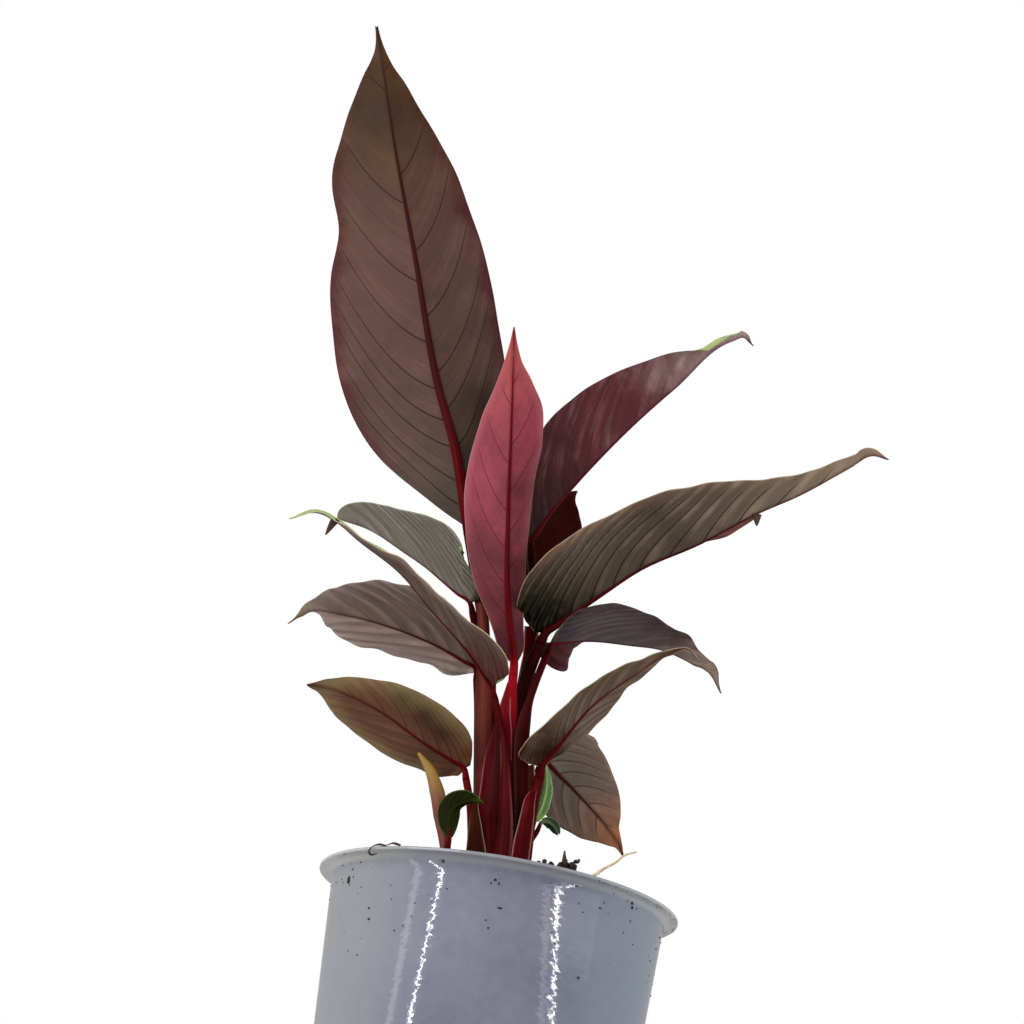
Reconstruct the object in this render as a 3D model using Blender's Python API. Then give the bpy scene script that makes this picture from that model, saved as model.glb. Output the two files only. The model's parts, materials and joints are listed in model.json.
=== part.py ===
"""A potted apoballis: a thin plastic nursery pot, its potting mix, and a clump of long leaves.

World frame: +Z up, the origin on the floor at the middle of the pot's base. The tables are in
millimetres and MM turns them into Blender's metres. -Y is the side that is seen in the photograph.
The plant, the mix and the pot rest in each other, GAP apart.

Every leaf is a thin blade on a rib. The rib is a smooth path. From each point of it one row
leaves to either side, as the side veins do: it starts at an angle to the rib, bends towards the
tip, and is raised out of the blade's plane by the leaf's fold and curl.
"""

import math
from dataclasses import dataclass

import bmesh
import bpy
import numpy as np

MM = 0.001
GAP = 0.3

POT_HEIGHT = 124.0
POT_RIM_RADIUS = 65.0
POT_TOP_RADIUS = 60.3
POT_BASE_RADIUS = 50.3
POT_WALL = 1.0
POT_FLOOR = 2.0
POT_LIP = 1.2
POT_FILLET = 1.0
POT_FOOT = 3.0
POT_CORNER = 5.0
POT_SIDES = 48
DRAIN_COUNT = 6
DRAIN_RADIUS = 4.5
DRAIN_RING_RADIUS = 34.0
DRAIN_SIDES = 12

# The mix comes to just under the rim, heaped here and there by up to its relief.
SOIL_LEVEL = 117.0
SOIL_RELIEF = 1.4
SOIL_CORNER = 2.6
SOIL_RINGS = 6
SOIL_SIDES = 30
SOIL_SEED = 11

# Pieces of bark on the mix: the middle, three half lengths and the turn about Z.
BARK_ROUGHNESS = 0.18
BARK = (
    ((13, -49, 119.5), (10, 4.5, 9.5), 10),
    ((20.5, -47, 121), (5, 6, 9.5), 35),
    ((19, -48, 127), (1.2, 1.6, 7.5), 20),
    ((-30, -28, 117), (8, 4, 3.5), 60),
    ((36, 10, 117), (9, 5, 3.5), 100),
    ((-22, 34, 117.5), (7, 5, 3), 150),
    ((5, 40, 117), (10, 4, 3.5), 20),
    ((-44, 4, 117), (6, 8, 3), 75),
)

# The plug of roots and stem bases that all the stalks rise from.
CROWN_CENTRE = (-1.0, 0.5)
CROWN_RADIUS = 16.0
CROWN_FOOT = 101.0
CROWN_TOP = 121.0
CROWN_SIDES = 24

# Stalks that stand in the mix by themselves start here, and are upright up to just over the mix.
HOLE_FOOT = 101.0
HOLE_SIDES = 12
UPRIGHT = (HOLE_FOOT, 120.0, 123.0)

BLADE_THICKNESS = 0.7
BLADE_ROWS = 12
BLADE_COLUMNS = 3
SMALL_BLADE_ROWS = 8
SMALL_BLADE_COLUMNS = 2
NECK = 5.0
RIB_SIDES = 5
RIB_RINGS = 9
RIB_END_RADIUS = 0.45
RIB_REACH = 0.9
RIB_SUNK = 0.6

STALK_SIDES = 8
THIN_SIDES = 6
STALK_SPACING = 13.0


@dataclass
class Leaf:
    """One leaf, in millimetres and degrees, seen from above with the base near and the tip far.

    rib: points from the blade's foot to its tip. faces: the ways that the upper side looks, spread
    evenly from foot to tip. left and right: the lengths of the rows on each side, at shares of the
    rib's length. fold: how far each half is raised. sweep: the angle at which the first row and
    the last leave the rib. bend: how far a row turns on towards the tip. radius: of the rib at its
    foot, over its end radius. root, way, stalk_radius: where the stalk rises, what it passes
    through, and how thick it starts.
    """

    rib: tuple
    faces: tuple
    left: tuple
    right: tuple
    fold: tuple
    colour: tuple
    root: tuple
    way: tuple
    stalk_radius: float
    sweep: tuple = (-24, 42)
    bend: float = 26
    radius: float = 1.9


LEAVES = {
    "leaf_tall": Leaf(
        rib=(
            (-35, -4, 267), (-45, -8, 296), (-57, -13, 322), (-76, -21, 375), (-93, -27, 422),
            (-113, -36, 482),
        ),
        faces=((0.1, 0.98, 0.1), (0.1, 0.98, 0.1)),
        left=(
            (0, 2), (0.06, 10), (0.14, 20), (0.24, 29), (0.36, 32), (0.5, 31), (0.62, 27), (0.72, 20),
            (0.82, 11), (0.91, 3), (1, 0.4),
        ),
        right=(
            (0, 2), (0.06, 14), (0.14, 28), (0.24, 37), (0.36, 40), (0.46, 38), (0.54, 33), (0.62, 34),
            (0.72, 27), (0.82, 17), (0.91, 6), (1, 0.4),
        ),
        fold=(8, 8),
        radius=2.3,
        colour=(0.11, 0.075, 0.065),
        root=(-6.5, 3),
        way=((-9, 7, 165), (-15.5, 12, 198), (-22.5, 12, 230), (-30, 4, 254)),
        stalk_radius=3.4,
    ),
    "leaf_new_pink": Leaf(
        rib=((-8, -12, 209), (-14, -20, 229), (-20, -27, 265), (-24, -32, 296), (-30, -38, 336)),
        faces=((0.05, 1, 0), (0.05, 1, 0)),
        left=(
            (0, 3), (0.08, 7), (0.2, 10), (0.36, 11.5), (0.5, 13.5), (0.64, 17), (0.73, 15),
            (0.83, 8.5), (0.92, 3.5), (1, 0.4),
        ),
        right=(
            (0, 2), (0.08, 8), (0.2, 14), (0.32, 19), (0.44, 21), (0.56, 19), (0.68, 15), (0.8, 8.5),
            (0.9, 5), (1, 0.4),
        ),
        fold=(22, 22),
        radius=1.9,
        colour=(0.32, 0.07, 0.09),
        root=(1, 0.5),
        way=((-3, -4, 170), (-6.5, -8, 193)),
        stalk_radius=2.8,
    ),
    "leaf_right_high": Leaf(
        rib=((-9, -2, 269), (5, 6, 292), (26, 18, 329), (46, 30, 363), (69, 40, 401), (78, 43, 404)),
        faces=((-0.85, 0.33, 0.35), (-0.75, 0.33, 0.5)),
        left=(
            (0, 4), (0.08, 16), (0.2, 28), (0.34, 33), (0.5, 31), (0.65, 24), (0.8, 12), (0.92, 4),
            (1, 0.4),
        ),
        right=(
            (0, 4), (0.06, 12), (0.14, 27), (0.22, 34), (0.34, 34), (0.46, 30), (0.6, 22.5),
            (0.72, 13), (0.82, 6), (0.92, 4), (1, 0.4),
        ),
        fold=(38, 38),
        colour=(0.11, 0.035, 0.045),
        root=(2.5, 8),
        way=((0, 7, 168), (-1.5, 6, 209), (-4, 4, 243)),
        stalk_radius=2.8,
    ),
    "leaf_right_broad": Leaf(
        rib=(
            (2, -8, 225), (20, -16, 240), (34, -22, 251), (54, -30, 262), (74, -38, 277),
            (88, -44, 286), (105, -50, 296), (118, -56, 299),
        ),
        faces=((-0.56, 0.23, 0.79), (-0.4, 0.21, 0.89), (-0.46, 0.27, 0.84), (-0.35, 0.2, 0.9)),
        left=(
            (0, 8), (0.06, 18), (0.14, 25), (0.3, 27), (0.46, 24), (0.6, 17), (0.74, 10), (0.86, 5),
            (0.94, 2.5), (1, 0.4),
        ),
        right=(
            (0, 6), (0.05, 18), (0.11, 27), (0.18, 31), (0.3, 29), (0.44, 27.5), (0.52, 23), (0.6, 16),
            (0.72, 11), (0.84, 6.5), (0.93, 4.5), (1, 0.4),
        ),
        fold=(24, 24),
        sweep=(-38, 42),
        radius=2.1,
        colour=(0.12, 0.10, 0.075),
        root=(7, -2),
        way=((2, -5, 173), (-1, -6, 195), (0, -7, 211)),
        stalk_radius=3.2,
    ),
    "leaf_right_arched": Leaf(
        rib=(
            (5, -2, 223), (18, 9, 231), (38, 23, 238), (52, 30, 241), (65, 36, 240), (73, 38, 238),
            (79, 40, 232),
        ),
        faces=((-0.2, 0.2, 1), (0.5, 0.1, 0.8)),
        left=(
            (0, 3), (0.08, 8), (0.18, 16), (0.32, 22), (0.46, 21), (0.62, 16), (0.76, 9), (0.9, 3),
            (1, 0.4),
        ),
        right=(
            (0, 3), (0.08, 9), (0.18, 17), (0.3, 22), (0.46, 21), (0.62, 17), (0.76, 12), (0.9, 5),
            (1, 0.4),
        ),
        fold=(12, 12),
        colour=(0.09, 0.06, 0.06),
        root=(7, 3.5),
        way=((3, 0, 180), (1, -3, 200), (3, -4, 214)),
        stalk_radius=3.0,
    ),
    "leaf_right_low": Leaf(
        rib=(
            (8, -14, 171), (12, -18, 177), (22, -27, 192), (37, -37, 205), (45, -42, 211),
            (52, -46, 213), (56, -48, 209),
        ),
        faces=((-0.64, 0.37, 0.67), (-0.61, 0.35, 0.71), (-0.47, 0.3, 0.83), (-0.4, 0.2, 0.88)),
        left=(
            (0, 4), (0.08, 7), (0.16, 10), (0.24, 13), (0.34, 15), (0.42, 12), (0.5, 8), (0.64, 5.5),
            (0.8, 3), (0.92, 1.5), (1, 0.4),
        ),
        right=(
            (0, 9), (0.06, 14), (0.12, 15), (0.22, 13), (0.34, 10.5), (0.5, 9.5), (0.62, 8), (0.74, 4),
            (0.86, 1.5), (1, 0.4),
        ),
        fold=(8, 8),
        colour=(0.12, 0.075, 0.05),
        root=(8, -8),
        way=((9, -10, 150), (8, -12, 160)),
        stalk_radius=3.6,
    ),
    "leaf_right_hanging": Leaf(
        rib=((9, 12, 180), (18, 18, 177), (26, 24, 173), (39, 33, 165), (45, 37, 160), (47, 39, 157)),
        faces=((-0.3, 0.74, 0.6), (-0.21, 0.73, 0.65), (-0.12, 0.77, 0.62), (0.08, 0.8, 0.59)),
        left=(
            (0, 5), (0.06, 9), (0.16, 12), (0.3, 14.5), (0.46, 14), (0.6, 11.5), (0.72, 8), (0.82, 5),
            (0.92, 2.5), (1, 0.4),
        ),
        right=(
            (0, 9), (0.06, 16), (0.12, 20), (0.24, 17.5), (0.38, 15), (0.52, 12), (0.64, 8),
            (0.76, 3.5), (0.86, 1.5), (1, 0.4),
        ),
        fold=(5, 5),
        colour=(0.17, 0.12, 0.10),
        root=(8, 10),
        way=((7, 11, 150), (6, 12, 168)),
        stalk_radius=2.4,
    ),
    "leaf_left_high": Leaf(
        rib=(
            (-27, 2, 236), (-40, 9, 245), (-58, 18, 259), (-79, 30, 273), (-87, 34, 276),
            (-91, 37, 278),
        ),
        faces=((0.3, 0.2, 0.9), (0.3, 0.2, 0.9)),
        left=(
            (0, 10), (0.06, 21), (0.14, 26), (0.26, 25.5), (0.4, 22), (0.56, 19), (0.72, 15),
            (0.84, 11), (0.93, 5), (1, 0.4),
        ),
        right=(
            (0, 2), (0.08, 5), (0.18, 11), (0.34, 18), (0.5, 18), (0.66, 14), (0.8, 8), (0.92, 3),
            (1, 0.4),
        ),
        fold=(14, 14),
        colour=(0.14, 0.12, 0.10),
        root=(-9, 9),
        way=((-14, 10, 165), (-19.5, 10, 200), (-24, 5, 222)),
        stalk_radius=2.8,
    ),
    "leaf_left_front": Leaf(
        rib=(
            (-15, -19, 196.2), (-23.9, -27, 203.2), (-40.8, -38, 214), (-54.6, -47, 222.9),
            (-71.5, -57, 228.8), (-78.4, -61, 231.7), (-86.3, -67, 231.7), (-94.2, -71, 225.8),
        ),
        faces=((0.4, -0.1, 0.9), (0.3, -0.4, 0.9)),
        left=(
            (0, 10), (0.06, 17), (0.13, 24), (0.24, 21), (0.36, 18), (0.5, 15), (0.62, 12), (0.74, 7),
            (0.86, 4), (1, 0.4),
        ),
        right=(
            (0, 7), (0.06, 11), (0.16, 15), (0.32, 16), (0.48, 13), (0.64, 9), (0.78, 5), (0.9, 3),
            (1, 0.4),
        ),
        fold=(10, 30),
        colour=(0.17, 0.11, 0.085),
        root=(-1, -9.5),
        way=((-4, -13, 150), (-7.5, -16, 175)),
        stalk_radius=3.4,
    ),
    "leaf_left_middle": Leaf(
        rib=(
            (-22, 2, 209.7), (-35.8, -2, 213.7), (-55.2, -7, 216.7), (-73.2, -12, 216.7),
            (-87.4, -17, 213.7), (-93.3, -19, 206.7),
        ),
        faces=((0.1, 0.3, 0.95), (-0.3, 0.3, 0.9)),
        left=(
            (0, 6), (0.06, 12), (0.16, 19), (0.3, 24), (0.46, 22), (0.6, 18), (0.74, 12), (0.88, 5),
            (1, 0.4),
        ),
        right=(
            (0, 4), (0.06, 8), (0.16, 13.5), (0.3, 19), (0.46, 21), (0.58, 17), (0.7, 9), (0.82, 4),
            (0.93, 2), (1, 0.4),
        ),
        fold=(8, 8),
        colour=(0.16, 0.11, 0.10),
        root=(-9.5, -2),
        way=((-11.5, -2, 165), (-16.5, -0.5, 195)),
        stalk_radius=2.8,
    ),
    "leaf_left_low": Leaf(
        rib=((-20, -8, 167), (-34, -14, 171), (-55, -22, 179), (-76, -31, 181), (-80, -33, 180)),
        faces=((0.1, 0.4, 0.9), (-0.1, 0.4, 0.9)),
        left=(
            (0, 7), (0.06, 11), (0.16, 16), (0.3, 18), (0.46, 16), (0.6, 13), (0.74, 9), (0.88, 4),
            (1, 0.4),
        ),
        right=(
            (0, 5), (0.06, 10), (0.16, 16), (0.3, 21), (0.44, 22), (0.6, 18), (0.74, 12), (0.88, 6),
            (1, 0.4),
        ),
        fold=(8, 8),
        colour=(0.15, 0.10, 0.06),
        root=(-13, -7),
        way=((-13, -8, 140), (-15, -8, 156)),
        stalk_radius=2.2,
    ),
    "leaf_back_dark": Leaf(
        rib=((-1, 14, 243), (2, 20, 261), (4, 27, 281), (6, 33, 298), (7, 37, 309)),
        faces=((-0.1, -0.4, 1), (-0.1, 0.6, 1)),
        left=(
            (0, 6), (0.06, 10), (0.16, 14), (0.34, 16), (0.5, 15), (0.66, 11), (0.8, 5), (0.92, 2),
            (1, 0.4),
        ),
        right=(
            (0, 6), (0.06, 9), (0.16, 13), (0.34, 15), (0.5, 14), (0.66, 10), (0.8, 4.5), (0.92, 2),
            (1, 0.4),
        ),
        fold=(15, 15),
        colour=(0.10, 0.012, 0.012),
        root=(-3, 12),
        way=((-3, 13, 180), (-3, 14, 225)),
        stalk_radius=2.2,
    ),
    "leaf_small_back": Leaf(
        rib=((9.5, 6, 156), (11, 6.2, 161), (11.8, 6.5, 168), (11.2, 6.5, 174), (9.8, 6.5, 179)),
        faces=((-0.2, 0.9, 0.2), (0.2, 0.9, 0.2)),
        left=((0, 1.5), (0.1, 2.5), (0.3, 3), (0.6, 2.5), (0.8, 1.5), (1, 0.5)),
        right=((0, 2), (0.1, 4), (0.3, 5), (0.6, 4), (0.8, 2.5), (1, 0.5)),
        fold=(12, 12),
        radius=0.8,
        colour=(0.10, 0.26, 0.06),
        root=(6, 4),
        way=((7, 5, 140),),
        stalk_radius=1.6,
    ),
    "leaf_tiny_back": Leaf(
        rib=((12.8, 10, 157), (15, 10.8, 157), (17, 11.5, 156), (19, 12, 153.8)),
        faces=((0.2, 0.8, 0.5), (0.3, 0.8, 0.5)),
        left=((0, 1), (0.2, 2), (0.5, 2.5), (0.8, 1.8), (1, 0.8)),
        right=((0, 1), (0.2, 2), (0.5, 2.5), (0.8, 1.8), (1, 0.8)),
        fold=(12, 12),
        radius=0.6,
        colour=(0.06, 0.12, 0.04),
        root=(7, 7),
        way=((7.5, 8, 144),),
        stalk_radius=1.4,
    ),
}

LEAF_SMALL_GREEN = Leaf(
    rib=(
        (-21, -24.5, 137), (-22, -25.2, 141.5), (-21.5, -26, 146), (-17.5, -28, 149),
        (-11.5, -29, 149.5),
    ),
    faces=((-0.3, 0.8, 0.3), (-0.2, 0.6, 0.8)),
    left=((0, 2.5), (0.15, 4.5), (0.4, 5), (0.65, 4), (0.85, 2), (1, 0.5)),
    right=((0, 2.5), (0.15, 4.5), (0.4, 5), (0.65, 4), (0.85, 2), (1, 0.5)),
    fold=(20, 20),
    radius=0.9,
    colour=(0.03, 0.07, 0.006),
    root=(-21.5, -24),
    way=((-21.5, -24, 128), (-21, -24.3, 133)),
    stalk_radius=1.5,
)

# What stands in the mix by itself: where it stands, its points, and its radii from its foot up.
SMALL_STALK = (
    (-21.5, -24),
    ((-21.5, -24, 128), (-21, -24.3, 133), (-21, -24.5, 137)),
    (1.5, 1.5, 1.5, 1.4, 1.2, 0.9),
)
BUD = (
    (-20.5, -16.5),
    ((-21.6, -17.5, 133.5), (-25, -18, 145.6), (-28.1, -19, 154), (-31.8, -20, 160.5), (-37, -21, 165.8)),
    (1.5, 1.5, 1.5, 1.8, 2.9, 2.7, 1.8, 0.5),
)
LOOSE_ROOT = (
    (26, -42),
    ((29.9, -44, 127.9), (32.8, -43, 130.7), (36, -42, 133.2), (39.2, -41, 136.7), (43, -40, 138.6)),
    (0.9, 0.9, 0.9, 0.8, 0.7, 0.7, 0.65, 0.5),
)


def smooth_path(points, count):
    """Points evenly spaced along one smooth curve through the given points.

    Each stretch is a cubic whose slopes at its ends are those of the neighbours' line.
    """
    p = np.asarray(points, float)
    knots = np.append(0, np.cumsum(np.linalg.norm(np.diff(p, axis=0), axis=1)))
    slopes = np.gradient(p, knots, axis=0)
    t = np.linspace(0, knots[-1], 40 * len(p))
    k = np.clip(np.searchsorted(knots, t, side="right") - 1, 0, len(p) - 2)
    h = (knots[k + 1] - knots[k])[:, None]
    u = (t - knots[k])[:, None] / h
    dense = (
        (2 * u**3 - 3 * u**2 + 1) * p[k]
        + (u**3 - 2 * u**2 + u) * h * slopes[k]
        + (3 * u**2 - 2 * u**3) * p[k + 1]
        + (u**3 - u**2) * h * slopes[k + 1]
    )
    run = np.append(0, np.cumsum(np.linalg.norm(np.diff(dense, axis=0), axis=1)))
    at = np.linspace(0, run[-1], count)
    return np.stack([np.interp(at, run, dense[:, i]) for i in range(3)], axis=1)


def unit(vectors):
    return vectors / np.linalg.norm(vectors, axis=-1, keepdims=True)


def smooth_values(pairs, at):
    """Values at the given places on the smooth curve through (place, value) pairs, as in smooth_path."""
    x, y = np.array(pairs, float).T
    slopes = np.gradient(y, x)
    k = np.clip(np.searchsorted(x, at, side="right") - 1, 0, len(x) - 2)
    h = x[k + 1] - x[k]
    u = (at - x[k]) / h
    return (
        (2 * u**3 - 3 * u**2 + 1) * y[k]
        + (u**3 - 2 * u**2 + u) * h * slopes[k]
        + (3 * u**2 - 2 * u**3) * y[k + 1]
        + (u**3 - u**2) * h * slopes[k + 1]
    )


def frames_along(path, faces):
    """Tangent, side and upward direction at each point of a rib, the side being tangent x up."""
    tangent = unit(np.gradient(path, axis=0))
    if len(faces) > 2:
        face = smooth_path(faces, len(path))
    else:
        face = np.linspace(*np.array(faces, float), len(path))
    up = unit(face - (face * tangent).sum(1, keepdims=True) * tangent)
    return tangent, np.cross(tangent, up), up


def rib_points(leaf):
    """The rib's points, after a neck that goes on in the direction of the stalk."""
    first = np.array(leaf.rib[0], float)
    neck = first - NECK * unit(first - np.array(leaf.way[-1], float))
    return np.concatenate([[neck], np.array(leaf.rib, float)])


def blade_grid(leaf, rows, columns):
    """Points of the blade, rows along the rib by columns from the left margin to the right."""
    path = smooth_path(rib_points(leaf), 200)
    length = np.linalg.norm(np.diff(path, axis=0), axis=1).sum()
    share = np.linspace(0, 1, rows) ** 0.95
    along = NECK / length + (1 - NECK / length) * share
    tangent, side, up = frames_along(path, leaf.faces)
    at = along * (len(path) - 1)
    index = np.arange(len(path))
    rib, tangent, side, up = (
        np.stack([np.interp(at, index, part[:, i]) for i in range(3)], axis=1)
        for part in (path, tangent, side, up)
    )
    start = np.radians(leaf.sweep[0] + (leaf.sweep[1] - leaf.sweep[0]) * share)
    halves = []
    steps = 12
    middle = (np.arange(steps) + 0.5) / steps
    for hand, widths, fold in zip((-1, 1), (leaf.left, leaf.right), leaf.fold):
        width = smooth_values(widths, share)
        raised = np.radians(fold)
        ahead = (start[:, None] + np.radians(leaf.bend) * middle)[:, :, None]
        out = (np.cos(raised) * hand * side + np.sin(raised) * up)[:, None]
        step = np.cos(ahead) * out + np.sin(ahead) * tangent[:, None]
        run = np.cumsum(step * (width / steps)[:, None, None], axis=1)
        run = np.concatenate([np.zeros((rows, 1, 3)), run], axis=1)
        v = np.linspace(0, steps, columns + 1)
        low = np.minimum(v.astype(int), steps - 1)
        rest = (v - low)[None, :, None]
        half = run[:, low] * (1 - rest) + run[:, low + 1] * rest
        halves.append(half + rib[:, None])
    left, right = halves
    return np.concatenate([left[:, ::-1], right[:, 1:]], axis=1)


def grid_normals(grid):
    """Normals of a grid of points, on the side that its rows and columns turn towards."""
    down_rows = np.gradient(grid, axis=0)
    across = np.gradient(grid, axis=1)
    return unit(np.cross(down_rows, across))


def solid_from_grid(grid, thickness):
    """A closed sheet: two offsets of the grid, split into triangles alike, joined round the edge."""
    rows, columns = grid.shape[:2]
    normals = grid_normals(grid)
    points = np.concatenate(
        [(grid + normals * thickness / 2).reshape(-1, 3), (grid - normals * thickness / 2).reshape(-1, 3)]
    )
    number = np.arange(rows * columns).reshape(rows, columns)
    a, b = number[:-1, :-1].ravel(), number[:-1, 1:].ravel()
    d, c = number[1:, :-1].ravel(), number[1:, 1:].ravel()
    above = np.concatenate([np.stack([a, d, c], 1), np.stack([a, c, b], 1)])
    below = above[:, ::-1] + rows * columns
    loop = np.concatenate([number[0, :], number[1:, -1], number[-1, -2::-1], number[-2:0:-1, 0]])
    after = np.roll(loop, -1)
    under = rows * columns
    rim = np.concatenate(
        [np.stack([loop, after, after + under], 1), np.stack([loop, after + under, loop + under], 1)]
    )
    return points, np.concatenate([above, below, rim])


def tube(path, radii, sides, up=(0.0, 1.0, 0.0), first=None, last=None):
    """A closed round tube along a path; first and last are the ways that its ends look."""
    tangent = unit(np.gradient(path, axis=0))
    if first is not None:
        tangent[0] = first
    if last is not None:
        tangent[-1] = last
    up = np.broadcast_to(np.asarray(up, float), path.shape)
    side = unit(np.cross(tangent, up))
    depth = np.cross(side, tangent)
    turn = np.arange(sides) * 2 * np.pi / sides
    ring = np.cos(turn)[None, :, None] * side[:, None] + np.sin(turn)[None, :, None] * depth[:, None]
    points = (path[:, None] + np.asarray(radii)[:, None, None] * ring).reshape(-1, 3)
    count = len(path)
    number = np.arange(count * sides).reshape(count, sides)
    nxt = np.roll(number, -1, axis=1)
    a, b = number[:-1].ravel(), nxt[:-1].ravel()
    d, c = number[1:].ravel(), nxt[1:].ravel()
    walls = np.concatenate([np.stack([a, b, c], 1), np.stack([a, c, d], 1)])
    first = np.stack([np.zeros(sides - 2, int), number[0, 2:], number[0, 1:-1]], 1)
    last = np.stack([np.full(sides - 2, number[-1, 0]), number[-1, 1:-1], number[-1, 2:]], 1)
    return points, np.concatenate([walls, first, last])


def material(name, colour, roughness):
    found = bpy.data.materials.get(name)
    if found:
        return found
    made = bpy.data.materials.new(name)
    made.use_nodes = True
    shader = made.node_tree.nodes["Principled BSDF"]
    shader.inputs["Base Color"].default_value = (*colour, 1.0)
    shader.inputs["Roughness"].default_value = roughness
    made.diffuse_color = (*colour, 1.0)
    return made


def add_object(name, points, faces, finish):
    """An object at the origin, its mesh in metres, with its faces turned outwards."""
    mesh = bpy.data.meshes.new(name)
    mesh.from_pydata((np.asarray(points) * MM).tolist(), [], np.asarray(faces).tolist())
    mesh.validate()
    work = bmesh.new()
    work.from_mesh(mesh)
    bmesh.ops.remove_doubles(work, verts=work.verts, dist=1e-6)
    bmesh.ops.recalc_face_normals(work, faces=work.faces)
    work.to_mesh(mesh)
    work.free()
    mesh.materials.append(finish)
    made = bpy.data.objects.new(name, mesh)
    bpy.context.scene.collection.objects.link(made)
    return made


def apply_modifiers(target):
    """Bakes the object's modifiers into its mesh."""
    graph = bpy.context.evaluated_depsgraph_get()
    baked = bpy.data.meshes.new_from_object(target.evaluated_get(graph))
    target.modifiers.clear()
    target.data = baked


def boolean(target, others, operation):
    """Joins the others to the target, or cuts them from it, in one step, and removes them."""
    group = bpy.data.collections.new(f"{target.name}_{operation.lower()}")
    for other in others:
        group.objects.link(other)
    step = target.modifiers.new(operation.title(), "BOOLEAN")
    step.operation = operation
    step.operand_type = "COLLECTION"
    step.collection = group
    step.solver = "EXACT"
    bpy.context.view_layer.update()
    apply_modifiers(target)
    for other in others:
        bpy.data.objects.remove(other)
    bpy.data.collections.remove(group)


def shade(target, degrees=35.0):
    target.data.shade_smooth()
    target.data.set_sharp_from_angle(angle=math.radians(degrees))


def turned(name, profile, sides, finish):
    """A solid of revolution about Z from a closed profile of (radius, height) points."""
    work = bmesh.new()
    verts = [work.verts.new((r * MM, 0, z * MM)) for r, z in profile]
    edges = [work.edges.new(pair) for pair in zip(verts, verts[1:])]
    if profile[0][0] > 0:
        edges.append(work.edges.new((verts[-1], verts[0])))
    bmesh.ops.spin(
        work,
        geom=verts + edges,
        cent=(0, 0, 0),
        axis=(0, 0, 1),
        angle=2 * math.pi,
        steps=sides,
        use_merge=True,
    )
    bmesh.ops.remove_doubles(work, verts=work.verts, dist=1e-6)
    bmesh.ops.recalc_face_normals(work, faces=work.faces)
    mesh = bpy.data.meshes.new(name)
    work.to_mesh(mesh)
    work.free()
    mesh.materials.append(finish)
    made = bpy.data.objects.new(name, mesh)
    bpy.context.scene.collection.objects.link(made)
    return made


def cylinder(name, x, y, low, high, radius, sides):
    """A cutter, left out of the model."""
    turn = np.arange(sides) * 2 * np.pi / sides
    ring = np.stack([x + radius * np.cos(turn), y + radius * np.sin(turn)], axis=1)
    path = np.array([(0, 0, low), (0, 0, high)], float)
    points = np.concatenate([np.column_stack([ring, np.full(sides, z)]) for z in path[:, 2]])
    number = np.arange(2 * sides).reshape(2, sides)
    nxt = np.roll(number, -1, axis=1)
    walls = [list(quad) for quad in zip(number[0], nxt[0], nxt[1], number[1])]
    faces = walls + [number[0, ::-1].tolist(), number[1].tolist()]
    mesh = bpy.data.meshes.new(name)
    mesh.from_pydata((points * MM).tolist(), [], [[int(i) for i in face] for face in faces])
    made = bpy.data.objects.new(name, mesh)
    made.hide_render = True
    made.display_type = "WIRE"
    bpy.context.scene.collection.objects.link(made)
    return made


def wall_radius(z):
    """Radius of the pot's outside at a height."""
    return POT_BASE_RADIUS + (POT_TOP_RADIUS - POT_BASE_RADIUS) * z / POT_HEIGHT


def make_pot():
    """A tapered shell with a flat flange, a flat base and round drainage holes about its middle."""
    top, lip = POT_HEIGHT, POT_HEIGHT - POT_LIP
    profile = [
        (0, POT_FLOOR),
        (wall_radius(POT_FLOOR) - POT_WALL - 2.0, POT_FLOOR),
        (wall_radius(POT_CORNER) - POT_WALL, POT_CORNER),
        (wall_radius(lip) - POT_WALL, lip),
        (wall_radius(top) - POT_WALL + POT_FILLET * 0.4, top - 0.25),
        (wall_radius(top) + POT_FILLET * 0.6, top),
        (POT_RIM_RADIUS - 0.4, top),
        (POT_RIM_RADIUS, top - 0.4),
        (POT_RIM_RADIUS, lip + 0.3),
        (POT_RIM_RADIUS - 0.4, lip),
        (wall_radius(top) + POT_FILLET, lip),
        (wall_radius(lip - 1.2), lip - POT_FILLET - 0.2),
        (wall_radius(POT_FOOT), POT_FOOT),
        (POT_BASE_RADIUS - 0.8, 0.8),
        (POT_BASE_RADIUS - 2.2, 0),
        (0, 0),
    ]
    finish = material("moulded_polypropylene", (0.42, 0.45, 0.50), 0.3)
    pot = turned("pot", profile, POT_SIDES, finish)
    drains = []
    for k in range(DRAIN_COUNT):
        turn = 2 * math.pi * (k + 0.5) / DRAIN_COUNT
        x, y = DRAIN_RING_RADIUS * math.cos(turn), DRAIN_RING_RADIUS * math.sin(turn)
        drains.append(cylinder(f"drain_{k}", x, y, -1.0, POT_FLOOR + 1.0, DRAIN_RADIUS, DRAIN_SIDES))
    boolean(pot, drains, "DIFFERENCE")
    shade(pot)
    return pot


def rib_tube(leaf):
    """Points and faces of the tapered rib under a blade."""
    knots = rib_points(leaf)
    path = smooth_path(knots, RIB_RINGS + 1)
    _, _, up = frames_along(path, leaf.faces)
    share = np.linspace(0, 1, len(path))
    radii = leaf.radius * (1 - share) ** 0.8 + RIB_END_RADIUS
    sunk = np.minimum(share * 6, 1) * RIB_SUNK * radii
    keep = int(RIB_REACH * len(path))
    first = unit(knots[1] - knots[0])
    return tube((path - up * sunk[:, None])[:keep], radii[:keep], RIB_SIDES, up=up[:keep], first=first)


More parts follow.
